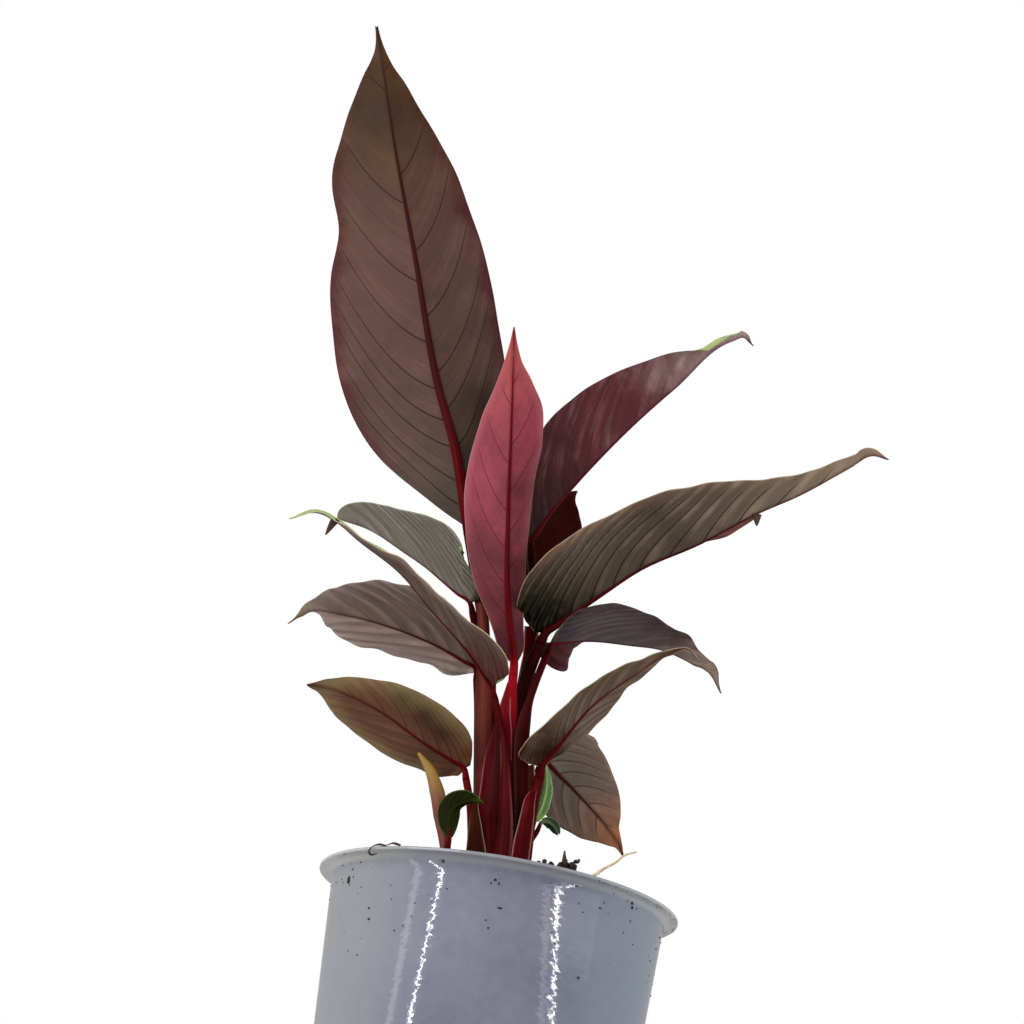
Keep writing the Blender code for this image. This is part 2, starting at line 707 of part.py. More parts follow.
def make_blade(name, leaf, rows=BLADE_ROWS, columns=BLADE_COLUMNS):
    """A leaf's blade and its rib, joined."""
    finish = material(name + "_blade", leaf.colour, 0.55)
    blade = add_object(name, *solid_from_grid(blade_grid(leaf, rows, columns), BLADE_THICKNESS), finish)
    boolean(blade, [add_object(name + "_rib", *rib_tube(leaf), finish)], "UNION")
    shade(blade)
    return blade


def petiole_tube(leaf):
    """Points and faces of a stalk from inside the crown to GAP short of its leaf's rib."""
    neck, blade_foot, *_ = rib_points(leaf)
    x, y = leaf.root
    ahead = unit(blade_foot - neck)
    end = neck - GAP * ahead
    path_points = [(x, y, CROWN_TOP - 8), (x, y, CROWN_TOP + 2), *leaf.way, end]
    length = np.linalg.norm(np.diff(np.array(path_points, float), axis=0), axis=1).sum()
    path = smooth_path(path_points, max(6, int(round(length / STALK_SPACING)) + 1))
    share = np.linspace(0, 1, len(path))
    radii = leaf.stalk_radius + (leaf.radius + RIB_END_RADIUS - leaf.stalk_radius) * share**1.3
    return tube(path, radii, STALK_SIDES, last=ahead)


def make_stem():
    """The crown and every stalk that rises from it, joined."""
    finish = material("crimson_stalk", (0.19, 0.012, 0.02), 0.4)
    x, y = CROWN_CENTRE
    profile = [
        (0, CROWN_FOOT),
        (CROWN_RADIUS - 1.5, CROWN_FOOT),
        (CROWN_RADIUS, CROWN_FOOT + 1.5),
        (CROWN_RADIUS, CROWN_TOP - 3),
        (CROWN_RADIUS - 3, CROWN_TOP - 0.5),
        (0, CROWN_TOP),
    ]
    stem = turned("stem", profile, CROWN_SIDES, finish)
    for vertex in stem.data.vertices:
        vertex.co.x += x * MM
        vertex.co.y += y * MM
    stalks = [
        add_object(f"stalk_of_{name}", *petiole_tube(leaf), finish) for name, leaf in LEAVES.items()
    ]
    boolean(stem, stalks, "UNION")
    shade(stem)
    return stem


def upright_tube(root, way, radii, sides):
    """A stalk that stands upright in the mix and then follows its way, its radii spread along it."""
    knots = [(*root, z) for z in UPRIGHT] + list(way)
    path = smooth_path(knots, 2 * len(knots))
    run = np.append(0, np.cumsum(np.linalg.norm(np.diff(np.array(knots, float), axis=0), axis=1)))
    along = np.linspace(0, run[-1], len(path))
    return tube(path, np.interp(along, run, radii), sides)


def make_small_green():
    """The small green leaf, with the stalk that it stands on, joined."""
    leaf = LEAF_SMALL_GREEN
    blade = make_blade("leaf_small_green", leaf, SMALL_BLADE_ROWS, SMALL_BLADE_COLUMNS)
    finish = blade.data.materials[0]
    boolean(blade, [add_object("small_stalk", *upright_tube(*SMALL_STALK, THIN_SIDES), finish)], "UNION")
    shade(blade)
    return blade


def make_bud():
    """The youngest leaf, still rolled into a spike."""
    finish = material("rolled_young_leaf", (0.36, 0.20, 0.07), 0.5)
    bud = add_object("bud_rolled", *upright_tube(*BUD, STALK_SIDES), finish)
    shade(bud)
    return bud


def make_loose_root():
    finish = material("pale_root", (0.76, 0.66, 0.46), 0.8)
    root = add_object("root_pale", *upright_tube(*LOOSE_ROOT, THIN_SIDES), finish)
    shade(root)
    return root


def soil_body(rng):
    """Points and faces of the mix: rings of its uneven top, then its wall and its foot."""
    turn = np.arange(SOIL_SIDES) * 2 * np.pi / SOIL_SIDES
    inner = wall_radius(SOIL_LEVEL) - POT_WALL - GAP
    points = [(0.0, 0.0, SOIL_LEVEL)]
    for ring in range(1, SOIL_RINGS + 1):
        radius = inner * ring / SOIL_RINGS
        edge = 1.0 if ring < SOIL_RINGS else 0.3
        heights = SOIL_LEVEL + rng.uniform(-SOIL_RELIEF, 0, SOIL_SIDES) * edge
        points += [(radius * math.cos(a), radius * math.sin(a), z) for a, z in zip(turn, heights)]
    foot = POT_FLOOR + GAP
    wall = wall_radius(POT_CORNER) - POT_WALL - GAP
    for z, radius in ((POT_CORNER, wall), (foot, wall - SOIL_CORNER)):
        points += [(radius * math.cos(a), radius * math.sin(a), z) for a in turn]
    points.append((0.0, 0.0, foot))
    faces = [(0, 1 + k, 1 + (k + 1) % SOIL_SIDES) for k in range(SOIL_SIDES)]
    for ring in range(SOIL_RINGS + 1):
        near, far = 1 + ring * SOIL_SIDES, 1 + (ring + 1) * SOIL_SIDES
        for k in range(SOIL_SIDES):
            nxt = (k + 1) % SOIL_SIDES
            faces += [(near + k, far + k, far + nxt), (near + k, far + nxt, near + nxt)]
    last = len(points) - 1
    first = last - SOIL_SIDES
    faces += [(last, first + (k + 1) % SOIL_SIDES, first + k) for k in range(SOIL_SIDES)]
    return points, faces


def bark_piece(name, middle, half, turn, rng, finish):
    """A rough lump of bark: a ball of triangles stretched to its half lengths and roughened."""
    work = bmesh.new()
    bmesh.ops.create_icosphere(work, subdivisions=1, radius=1.0)
    ball = np.array([tuple(vertex.co) for vertex in work.verts])
    faces = [[vertex.index for vertex in face.verts] for face in work.faces]
    work.free()
    ball *= rng.uniform(1 - BARK_ROUGHNESS, 1.0, (len(ball), 1))
    ball *= np.array(half)
    angle = math.radians(turn)
    x = ball[:, 0] * math.cos(angle) - ball[:, 1] * math.sin(angle)
    y = ball[:, 0] * math.sin(angle) + ball[:, 1] * math.cos(angle)
    return add_object(name, np.stack([x, y, ball[:, 2]], axis=1) + np.array(middle), faces, finish)


def make_soil():
    """The potting mix with its pieces of bark, and a plain hole for whatever stands in it."""
    rng = np.random.default_rng(SOIL_SEED)
    finish = material("potting_mix", (0.045, 0.028, 0.018), 0.95)
    soil = add_object("soil", *soil_body(rng), finish)
    lumps = [bark_piece(f"bark_{k}", *piece, rng, finish) for k, piece in enumerate(BARK)]
    boolean(soil, lumps, "UNION")
    top = POT_HEIGHT + 20
    wide = CROWN_RADIUS + GAP + 0.15
    holes = [cylinder("crown_hole", *CROWN_CENTRE, CROWN_FOOT - GAP, top, wide, CROWN_SIDES)]
    for name, (root, _, radii) in (("small", SMALL_STALK), ("bud", BUD), ("root", LOOSE_ROOT)):
        wide = radii[0] + GAP + 0.05
        holes.append(cylinder(f"{name}_hole", *root, HOLE_FOOT - GAP, top, wide, HOLE_SIDES))
    boolean(soil, holes, "DIFFERENCE")
    shade(soil)
    return soil


def clear_scene():
    for old in list(bpy.data.objects):
        bpy.data.objects.remove(old)


def main():
    clear_scene()
    make_pot()
    make_soil()
    make_stem()
    for name, leaf in LEAVES.items():
        make_blade(name, leaf)
    make_small_green()
    make_bud()
    make_loose_root()


if __name__ == "__main__":
    main()
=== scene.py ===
"""The looks of a potted apoballis: crimson-stalked leaves seen mostly from beneath, in a nursery pot.

The tables are in millimetres, in the same frame as the solids: +Z up, the origin on the floor at
the middle of the pot's base, -Y the side of the photograph. MM turns them into metres.
"""

import functools
import json
import math
from dataclasses import dataclass

import bmesh
import bpy
import numpy as np
from bpy.props import FloatProperty, FloatVectorProperty, IntProperty, PointerProperty
from mathutils import Matrix

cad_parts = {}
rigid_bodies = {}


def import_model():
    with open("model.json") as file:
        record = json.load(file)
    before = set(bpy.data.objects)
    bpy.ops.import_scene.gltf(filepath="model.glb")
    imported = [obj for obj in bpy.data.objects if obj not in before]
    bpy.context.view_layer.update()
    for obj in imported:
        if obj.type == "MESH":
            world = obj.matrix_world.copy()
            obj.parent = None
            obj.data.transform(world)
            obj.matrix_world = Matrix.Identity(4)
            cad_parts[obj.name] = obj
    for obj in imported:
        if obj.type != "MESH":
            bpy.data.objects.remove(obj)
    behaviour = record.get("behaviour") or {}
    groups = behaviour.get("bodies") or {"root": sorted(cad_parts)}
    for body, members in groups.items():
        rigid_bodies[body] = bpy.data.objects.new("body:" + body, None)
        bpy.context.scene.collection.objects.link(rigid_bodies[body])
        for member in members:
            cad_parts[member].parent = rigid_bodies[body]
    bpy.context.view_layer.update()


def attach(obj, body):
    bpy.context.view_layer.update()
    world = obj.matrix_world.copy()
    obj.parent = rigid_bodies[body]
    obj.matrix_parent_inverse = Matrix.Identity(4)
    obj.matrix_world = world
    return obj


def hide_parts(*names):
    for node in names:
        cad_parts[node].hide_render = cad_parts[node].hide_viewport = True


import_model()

bl_info = {
    "name": "Potted apoballis",
    "version": (1, 0, 0),
    "blender": (4, 5, 0),
    "location": "View3D > Sidebar > Apoballis",
    "description": "Leaves, stalks, potting mix and pot of a potted apoballis",
    "category": "Add Mesh",
}

MM = 0.001
BODY = "root"

# The pot, as in the solids.
POT_HEIGHT = 124.0
POT_RIM_RADIUS = 65.0
POT_TOP_RADIUS = 60.3
POT_BASE_RADIUS = 50.3
POT_WALL = 1.0
POT_FLOOR = 2.0
POT_LIP = 1.2
DRAIN_COUNT = 6
DRAIN_RADIUS = 4.5
DRAIN_RING_RADIUS = 34.0

# The mix, the crown and the holes that the stalks stand in, as in the solids.
SOIL_LEVEL = 117.0
CROWN_CENTRE = (-1.0, 0.5)
CROWN_RADIUS = 16.0
CROWN_TOP = 121.0
HOLE_FOOT = 101.0
UPRIGHT = (HOLE_FOOT, 120.0, 123.0)

# A midrib: the straight neck before its foot, its end radii, how far the part of its radius that
# dies away lasts, and the power by which the rest tapers.
NECK = 5.0
RIB_END_RADIUS = 0.45
RIB_TIP_RADIUS = 0.22
RIB_FADE = 11.0
RIB_TAPER = 1.45
# The stalks, dark, middle and bright, the brown of the painted sheen on their lit side, and the way that
# side faces.
STALK_DARK, STALK_MID, STALK_BRIGHT = "#120203", "#500609", "#a40c20"
PAINTED_SHEEN = "#763a2e"
SHEEN_SIDE = (-0.3, -0.95, 0.1)
# A row of a blade is the sum of this many short steps. Then the least and the most rows along a
# blade, and columns on each half of it.
STEPS = 48
GRID_ROWS = (24, 230)
GRID_COLUMNS = (8, 40)
# What is strewn: splinters at the front of the mix, crumbs on it, and specks on the pot's wall and
# on its flange. Crumbs stay within CRUMB_REACH of the pot's axis.
SPLINTERS = 46
CRUMBS = 520
SPECKS = 70
CRUMB_REACH = 57.0

# The camera of the photograph: its place in metres, by how many degrees it looks up and is rolled,
# and its focal length and the picture's width in pixels.
CAMERA_PLACE = (-0.0184, -0.5643, 0.0049)
CAMERA_PITCH = 25.75
CAMERA_ROLL = 9.7
FOCAL_PIXELS = 1553.0
PHOTO_PIXELS = 1024.0
SENSOR = 36.0


@dataclass
class Look:
    """The underside of one leaf: sRGB colours, and in millimetres how far the edge tints reach.

    relief, cloudy, streak_strength, vein_strength, rim_strength: how much of each shows; relief is
    painted light and shade on the slopes of the pleats. fibres: how many lie between two side veins.
    both_sides: whether the upper side looks the same.
    halves: painted light and shade: how bright the left half and the right half are painted, each at the
    foot and at the tip.
    blots: (hand, share of the rib, share of the row, reach, brightness) of painted pools of light and
    painted shadows.
    left_tint: a colour of its own for the left half.
    """

    centre: str
    margin: str
    base: str
    tip: str
    rib: str = "#5e1a2a"
    vein: str = "#3a1a1e"
    streak: str = "#8a7468"
    rim: str = "#b98f7c"
    margin_reach: float = 9.0
    base_reach: float = 0.2
    tip_reach: float = 0.2
    vein_width: float = 0.4
    vein_strength: float = 0.85
    streak_strength: float = 0.25
    rim_strength: float = 0.6
    painted_pleat_shade: float = 0.3
    painted_half_light: tuple = ((1.0, 1.0), (1.0, 1.0))
    cloudy: float = 0.45
    painted_light_spots: tuple = ()
    fibres: float = 9.0
    both_sides: bool = False
    left_tint: str = ""


@dataclass
class Leaf:
    """One leaf, in millimetres and degrees, seen from above with the base near and the tip far.

    rib: points from the blade's foot to its tip. faces: the ways that the upper side looks, spread
    evenly from foot to tip. left and right: the lengths of the rows on each side, at shares of the
    rib's length. fold: how far each half is raised. sweep: the angle at which the first row and
    the last leave the rib. bend: how far a row turns on towards the tip. radius: of the rib at its
    foot, over its end radius. root, way, stalk_radius: where the stalk rises, what it passes
    through, and how thick it starts. veins_left, veins_right: where the side veins leave the rib.
    pleat: how far the blade bulges between side veins. wave, waves: how far and how often the
    margin waves. curls: (side, middle, reach, degrees, power) of margins that roll up; the higher
    the power, the more the roll keeps to the margin. lean: how far a side vein runs ahead for each
    step out, near the rib and then more. rib_share: the part of the rib's radius that lasts past
    its foot. tone: of the stalk, from 0, dark, to 1, bright. blush: how strong the painted brown
    sheen is on the stalk's side that faces the light.
    flare: between which shares of its length, from the top, it thickens. teeth: foot, tip and
    radius of each dried tooth that hangs where the blade has torn.
    """

    look: Look
    rib: tuple
    faces: tuple
    left: tuple
    right: tuple
    fold: tuple
    root: tuple
    way: tuple
    stalk_radius: float
    sweep: tuple = (-24, 42)
    bend: float = 26
    radius: float = 1.9
    veins_left: tuple = (0.03, 0.08, 0.14, 0.21, 0.29, 0.39, 0.51, 0.66, 0.85)
    veins_right: tuple = (0.05, 0.10, 0.17, 0.25, 0.34, 0.44, 0.58, 0.74, 0.92)
    pleat: float = 0.35
    wave: float = 0.8
    waves: float = 5.0
    curls: tuple = ()
    lean: tuple = (0.55, 1.15)
    rib_share: float = 0.3
    tone: float = 0.4
    painted_sheen: float = 0.0
    flare: tuple = (0.1, 0.85)
    teeth: tuple = ()


LEAVES = {
    "leaf_tall": Leaf(
        look=Look(
            centre="#573e38", margin="#4c2426", base="#4b4239", tip="#4e361e", rib="#301214",
            vein="#260d10", rim="#4c2420", margin_reach=7, base_reach=0.32, tip_reach=0.6,
            streak_strength=0.1, painted_pleat_shade=0.09, painted_half_light=((0.76, 0.92), (1.08, 0.86)), cloudy=0.7,
            painted_light_spots=(
                (-1, 0.2, 0.72, 13, 0.46), (-1, 0.12, 0.5, 10, 0.52), (-1, 0.34, 0.9, 10, 0.75),
                (1, 0.8, 0.45, 22, 0.68), (-1, 0.8, 0.6, 20, 0.9), (1, 0.52, 0.6, 12, 1.12),
                (1, 0.2, 0.45, 14, 1.08),
            ),
        ),
        rib=(
            (-35, -4, 267), (-45, -8, 296), (-57, -13, 322), (-76, -21, 375), (-93, -27, 422),
            (-113, -36, 482),
        ),
        faces=((0.1, 0.98, 0.1), (0.1, 0.98, 0.1)),
        left=(
            (0, 2), (0.06, 10), (0.14, 20), (0.24, 28.5), (0.36, 31), (0.5, 30.5), (0.62, 27.5),
            (0.72, 21.5), (0.82, 13.5), (0.91, 5.5), (0.95, 2.8), (0.98, 1.5), (1, 1.1),
        ),
        right=(
            (0, 2), (0.06, 14), (0.14, 28.5), (0.24, 38), (0.36, 41), (0.46, 39), (0.54, 33.5),
            (0.62, 34.5), (0.72, 28), (0.82, 18), (0.91, 7), (0.95, 3), (0.98, 1.5), (1, 1.1),
        ),
        fold=(8, 8),
        radius=2.0,
        rib_share=1.02,
        root=(-6.5, -2.5),
        way=(
            (-7.8, -3, 138.3), (-9.4, -3, 150.3), (-11.6, -3.5, 165), (-13.9, -4, 180),
            (-16.2, -3.5, 195.6), (-17.6, -3, 205), (-19.9, -1, 216.3), (-22.5, 1, 229.3),
            (-28.3, 2, 248.5),
        ),
        stalk_radius=3.9,
        painted_sheen=0.7,
        flare=(0.27, 0.42),
        veins_right=(0.03, 0.075, 0.14, 0.19, 0.25, 0.34, 0.46, 0.62, 0.86),
        veins_left=(0.03, 0.08, 0.14, 0.21, 0.28, 0.39, 0.52, 0.68, 0.9),
        lean=(0.5, 1.2),
        wave=1.0,
    ),
    "leaf_new_pink": Leaf(
        look=Look(
            centre="#883a46", margin="#9a505a", base="#50242a", tip="#a04848", rib="#52060e",
            vein="#5a0c18", rim="#c48a84", margin_reach=4, tip_reach=0.4, base_reach=0.6,
            streak_strength=0.0, painted_pleat_shade=0.05, both_sides=True, vein_width=0.34,
            painted_half_light=((1.0, 1.0), (1.0, 0.95)), cloudy=0.9,
            painted_light_spots=((-1, 0.48, 0.5, 10, 0.72), (-1, 0.6, 0.7, 8, 0.8), (1, 0.62, 0.5, 8, 0.85)),
        ),
        rib=((-8, -12, 209), (-14, -20, 229), (-20, -27, 265), (-24, -32, 296), (-30, -38, 339.5)),
        faces=((0.05, 1, 0), (0.05, 1, 0)),
        left=(
            (0, 1.0), (0.025, 3.6), (0.045, 5), (0.09, 5.6), (0.15, 6.4), (0.21, 7.3), (0.36, 9),
            (0.5, 11.6), (0.62, 15.6), (0.7, 16), (0.78, 11.5), (0.86, 6), (0.92, 3.2), (0.97, 1.4),
            (1, 0.4),
        ),
        right=(
            (0, 0.8), (0.02, 3.2), (0.04, 5), (0.1, 7), (0.15, 9), (0.21, 12.5), (0.32, 17),
            (0.44, 19.6), (0.56, 18.6), (0.68, 14.5), (0.8, 8.5), (0.9, 4), (0.96, 1.8), (1, 0.4),
        ),
        fold=(22, 22),
        root=(-1, -5),
        way=((-1, -6, 158), (-3.3, -8, 177), (-5.4, -9.5, 190), (-7.2, -10.8, 200)),
        stalk_radius=2.6,
        radius=1.3,
        rib_share=0.85,
        tone=0.85,
        veins_left=(0.06, 0.16, 0.26, 0.37, 0.49, 0.63, 0.82),
        veins_right=(0.05, 0.13, 0.22, 0.32, 0.43, 0.57, 0.75),
        lean=(0.75, 1.2),
        pleat=0.12,
        wave=0.3,
    ),
    "leaf_right_high": Leaf(
        look=Look(
            centre="#57282c", margin="#54272c", base="#301a1d", tip="#a08886", rib="#4a1820",
            vein="#32141a", streak="#8a7478", rim="#3c2020", streak_strength=0.5, base_reach=0.4,
            tip_reach=0.55, painted_pleat_shade=0.22, vein_strength=0.4, fibres=2.2,
        ),
        rib=(
            (-9.2, -1.5, 265), (-2.5, 3.5, 282.2), (4.5, 7, 296.2), (23.7, 18, 332), (44.1, 30, 365.8),
            (68.7, 40, 401.8), (74.5, 42, 406), (78.8, 43, 403.2),
        ),
        faces=((-0.85, 0.33, 0.35), (-0.75, 0.33, 0.5)),
        left=(
            (0, 4), (0.08, 16), (0.2, 26), (0.34, 28), (0.5, 25), (0.65, 18), (0.8, 8), (0.92, 3),
            (1, 0.4),
        ),
        right=(
            (0, 3), (0.06, 9), (0.14, 22), (0.22, 27), (0.34, 27.5), (0.46, 24.8), (0.6, 19.5),
            (0.72, 15), (0.8, 12.5), (0.87, 9), (0.93, 5.5), (0.97, 2.5), (1, 0.4),
        ),
        fold=(62, 38),
        curls=((1, 0.82, 0.11, -300, 2),),
        root=(2.5, 8),
        way=((0, 7, 168), (-1.5, 6, 209), (-4, 4, 243)),
        stalk_radius=2.8,
        radius=1.3,
        rib_share=0.25,
        tone=0.15,
        veins_right=(0.03, 0.1, 0.18, 0.27, 0.37, 0.48, 0.6, 0.75),
        lean=(0.9, 0.8),
        pleat=0.5,
    ),
    "leaf_right_broad": Leaf(
        # Its near-black base colour is partly dark pigment and partly painted shade, where the foot lies
        # among the stalks.
        look=Look(
            centre="#493f35", margin="#604a3c", base="#090604", tip="#8c7866", rib="#3a1014",
            vein="#16100c", streak="#857866", rim="#b09a7c", margin_reach=5, base_reach=0.17,
            tip_reach=0.78, streak_strength=0.4, painted_pleat_shade=0.42, vein_strength=0.8,
            vein_width=0.5, fibres=5, left_tint="#6c423c", painted_half_light=((1.15, 1.15), (1.0, 1.0)),
            painted_light_spots=((1, 0.25, 0.85, 20, 1.75), (1, 0.04, 0.5, 14, 0.2), (1, 0.5, 0.7, 14, 0.9)),
        ),
        rib=(
            (2, -8, 225), (20, -16, 240.3), (34, -22, 251.8), (54, -30, 262.6), (74, -38, 275.8),
            (88, -44, 283.2), (105, -50, 295.2), (112.5, -53.5, 300.2), (118, -56, 298.2),
        ),
        faces=((-0.56, 0.23, 0.79), (-0.4, 0.21, 0.89), (-0.46, 0.27, 0.84), (-0.35, 0.2, 0.9)),
        left=(
            (0, 2), (0.04, 12), (0.1, 20), (0.2, 22), (0.34, 22), (0.46, 23), (0.53, 21), (0.585, 18),
            (0.605, 9.5), (0.66, 8), (0.74, 6), (0.86, 4), (0.94, 2), (1, 0.4),
        ),
        right=(
            (0, 5), (0.01, 10.5), (0.03, 18), (0.06, 23), (0.1, 27), (0.17, 31), (0.3, 29),
            (0.42, 28), (0.5, 24), (0.58, 18), (0.66, 13), (0.74, 10), (0.84, 7), (0.92, 5.5),
            (0.96, 3), (1, 0.4),
        ),
        fold=(46, 24),
        curls=((-1, 0.53, 0.11, -68, 2),),
        teeth=(((73.6, -38.2, 275), (73.9, -38.6, 269.8), 1.9),),
        sweep=(-42, 42),
        root=(4, 2),
        way=((1, 1, 160), (-1.7, 0, 184), (-2.9, -0.5, 199), (-2.2, -2, 208), (-0.8, -4.5, 215)),
        stalk_radius=3.0,
        tone=0.12,
        flare=(0.0, 0.22),
        veins_left=(0.03, 0.08, 0.13, 0.19, 0.26, 0.33, 0.41, 0.5, 0.6, 0.71, 0.84),
        veins_right=(0.02, 0.075, 0.14, 0.21, 0.29, 0.375, 0.47, 0.57, 0.68, 0.8),
        lean=(0.9, 0.9),
        pleat=0.85,
        wave=0.7,
        waves=7.0,
    ),
    "leaf_right_arched": Leaf(
        look=Look(
            centre="#554848", margin="#463434", base="#43343a", tip="#a48e80", rib="#3e2024",
            vein="#3a2a2e", streak="#84787a", rim="#5a4040", streak_strength=0.35,
            vein_strength=0.3, painted_pleat_shade=0.32, fibres=2.5, left_tint="#4a2026", tip_reach=0.5,
        ),
        rib=(
            (5, -2, 223), (18, 9, 231), (38, 23, 238), (52, 30, 241), (65, 36, 240), (73, 38, 238),
            (79.3, 40, 230.6),
        ),
        faces=((-0.2, 0.2, 1), (0.5, 0.1, 0.8)),
        left=(
            (0, 5), (0.03, 8), (0.08, 12), (0.14, 14), (0.2, 13.5), (0.27, 12), (0.34, 12), (0.5, 12),
            (0.66, 9), (0.8, 5), (0.92, 2), (1, 0.4),
        ),
        right=(
            (0, 7), (0.03, 19), (0.08, 26), (0.16, 27), (0.3, 24.5), (0.44, 21), (0.55, 16.5),
            (0.62, 15.5), (0.68, 12.5), (0.75, 10), (0.81, 8.5), (0.87, 6), (0.93, 3), (1, 0.4),
        ),
        sweep=(-34, 42),
        fold=(26, 12),
        curls=((-1, 0.16, 0.09, -100, 0.4),),
        root=(6, -5),
        way=((4, -6.5, 150), (0.8, -8, 168), (-1.1, -9, 182), (-0.6, -8.5, 192), (1.2, -7, 204)),
        stalk_radius=3.2,
        radius=1.0,
        rib_share=0.2,
        tone=0.3,
        painted_sheen=0.05,
        flare=(0.18, 0.34),
        veins_left=(0.04, 0.14, 0.26, 0.4, 0.56, 0.75),
        veins_right=(0.03, 0.12, 0.24, 0.38, 0.54, 0.74),
        lean=(1.0, 0.9),
        pleat=0.5,
        wave=0.4,
    ),
    "leaf_right_low": Leaf(
        look=Look(
            centre="#665649", margin="#62503e", base="#36180a", tip="#6e5444", rib="#4c0c16",
            vein="#22100c", streak="#847060", rim="#c0a888", streak_strength=0.4, base_reach=0.3,
            painted_pleat_shade=0.36, fibres=6, vein_strength=0.6,
        ),
        rib=(
            (8, -14, 171), (12, -18, 177), (22, -27, 192), (37, -37, 205), (45, -42, 211),
            (52, -46, 213), (56, -48, 209),
        ),
        faces=((-0.64, 0.37, 0.67), (-0.61, 0.35, 0.71), (-0.47, 0.3, 0.83), (-0.4, 0.2, 0.88)),
        left=(
            (0, 2), (0.08, 6), (0.16, 10), (0.24, 13), (0.34, 15), (0.42, 12), (0.5, 8), (0.64, 5.5),
            (0.8, 3), (0.92, 1.5), (1, 0.4),
        ),
        right=(
            (0, 2), (0.02, 8), (0.05, 13), (0.1, 15.5), (0.2, 13.5), (0.34, 10.5), (0.5, 9.5),
            (0.62, 7.5), (0.74, 4), (0.86, 1.5), (1, 0.4),
        ),
        fold=(8, 8),
        sweep=(-38, 42),
        root=(7, -12.5),
        way=((7.1, -13, 138), (6.9, -13, 148.3), (7.2, -13, 158.5)),
        stalk_radius=2.5,
        radius=1.5,
        rib_share=0.2,
        tone=0.42,
        painted_sheen=0.15,
        veins_left=(0.05, 0.17, 0.3, 0.45, 0.62, 0.82),
        veins_right=(0.01, 0.05, 0.1, 0.16, 0.24, 0.34, 0.46, 0.62, 0.82),
        lean=(1.0, 1.0),
        pleat=0.45,
        wave=0.4,
    ),
    "leaf_right_hanging": Leaf(
        look=Look(
            centre="#6e6259", margin="#766458", base="#8a8072", tip="#b07450", rib="#3e1a1c",
            vein="#43282c", streak="#8e827a", rim="#7a4434", vein_strength=0.6, painted_pleat_shade=0.14,
            fibres=6, tip_reach=0.6, vein_width=0.5, painted_half_light=((1.35, 1.25), (1.0, 1.0)),
        ),
        rib=((9, 12, 180), (18, 18, 177), (26, 24, 173), (39, 33, 165), (45, 37, 160), (47.4, 39, 156.2)),
        faces=((-0.3, 0.74, 0.6), (-0.21, 0.73, 0.65), (-0.12, 0.77, 0.62), (0.08, 0.8, 0.59)),
        left=(
            (0, 3), (0.05, 9), (0.16, 13), (0.3, 15.5), (0.46, 15), (0.6, 12.5), (0.72, 8.5),
            (0.82, 5), (0.9, 2.5), (1, 0.4),
        ),
        right=(
            (0, 3), (0.05, 12.8), (0.12, 19), (0.24, 18.5), (0.38, 16), (0.52, 13), (0.64, 9),
            (0.74, 5), (0.82, 3), (0.9, 1.5), (1, 0.4),
        ),
        fold=(5, 5),
        root=(8, 10),
        way=((7, 11, 150), (6, 12, 168)),
        stalk_radius=2.4,
        radius=1.0,
        rib_share=0.35,
        tone=0.3,
        veins_left=(0.08, 0.24, 0.42, 0.62, 0.84),
        veins_right=(0.05, 0.17, 0.32, 0.5, 0.72),
        lean=(0.5, 1.2),
        pleat=0.3,
        wave=0.4,
    ),
    "leaf_left_high": Leaf(
        look=Look(
            centre="#6c665d", margin="#68625a", base="#6a645a", tip="#767062", rib="#4a2a2c",
            vein="#5a504c", streak="#b4a2a6", rim="#98a06c", streak_strength=0.6,
            vein_strength=0.4, painted_pleat_shade=0.42, fibres=2.2,
        ),
        rib=(
            (-28.5, 2, 236), (-34.2, 5, 240.2), (-39.8, 8, 244.8), (-49.1, 13, 252.6),
            (-58.4, 18, 259.2), (-79, 30, 273), (-87, 34, 276), (-91, 37, 278),
        ),
        faces=((0.3, 0.2, 0.9), (0.3, 0.2, 0.9)),
        left=(
            (0, 7), (0.03, 15.5), (0.07, 22.5), (0.12, 27.5), (0.19, 29.3), (0.27, 27), (0.4, 23),
            (0.56, 19), (0.72, 15), (0.84, 11), (0.93, 5.5), (1, 0.4),
        ),
        right=(
            (0, 1.5), (0.08, 2.5), (0.18, 5), (0.34, 10), (0.5, 12), (0.66, 9), (0.8, 5), (0.92, 2),
            (1, 0.4),
        ),
        fold=(14, 56),
        root=(-9, 9),
        way=((-11, 8, 150), (-14.5, 9, 175), (-18, 8, 199.6), (-21, 7, 214.9), (-24.6, 5, 226.3)),
        stalk_radius=2.6,
        radius=1.0,
        rib_share=0.15,
        tone=0.25,
        veins_left=(0.03, 0.1, 0.18, 0.27, 0.38, 0.51, 0.68),
        lean=(1.0, 0.9),
        pleat=0.55,
        wave=0.2,
    ),
    "leaf_left_front": Leaf(
        look=Look(
            centre="#5e4a43", margin="#84746a", base="#582a20", tip="#7fa02c", rib="#48101a",
            vein="#3c2422", streak="#8e7a6e", rim="#cfc39c", tip_reach=0.1, margin_reach=5,
            rim_strength=0.8, vein_strength=0.5, streak_strength=0.3, painted_pleat_shade=0.2, fibres=6,
            base_reach=0.3,
        ),
        rib=(
            (-15, -19, 196.2), (-23.9, -27, 203.2), (-40.8, -38, 214), (-54.6, -47, 222.9),
            (-71.5, -57, 228.8), (-78.4, -61, 231.7), (-86.3, -67, 231.7), (-94.2, -71, 225.8),
        ),
        faces=((0.4, -0.1, 0.9), (0.3, -0.4, 0.9)),
        left=(
            (0, 6), (0.01, 11), (0.025, 15), (0.06, 20), (0.1, 22), (0.16, 22), (0.22, 20.5),
            (0.3, 18), (0.42, 15), (0.52, 13.5), (0.62, 10), (0.74, 5), (0.82, 3), (0.9, 2.4),
            (0.96, 1.5), (1, 0.4),
        ),
        right=(
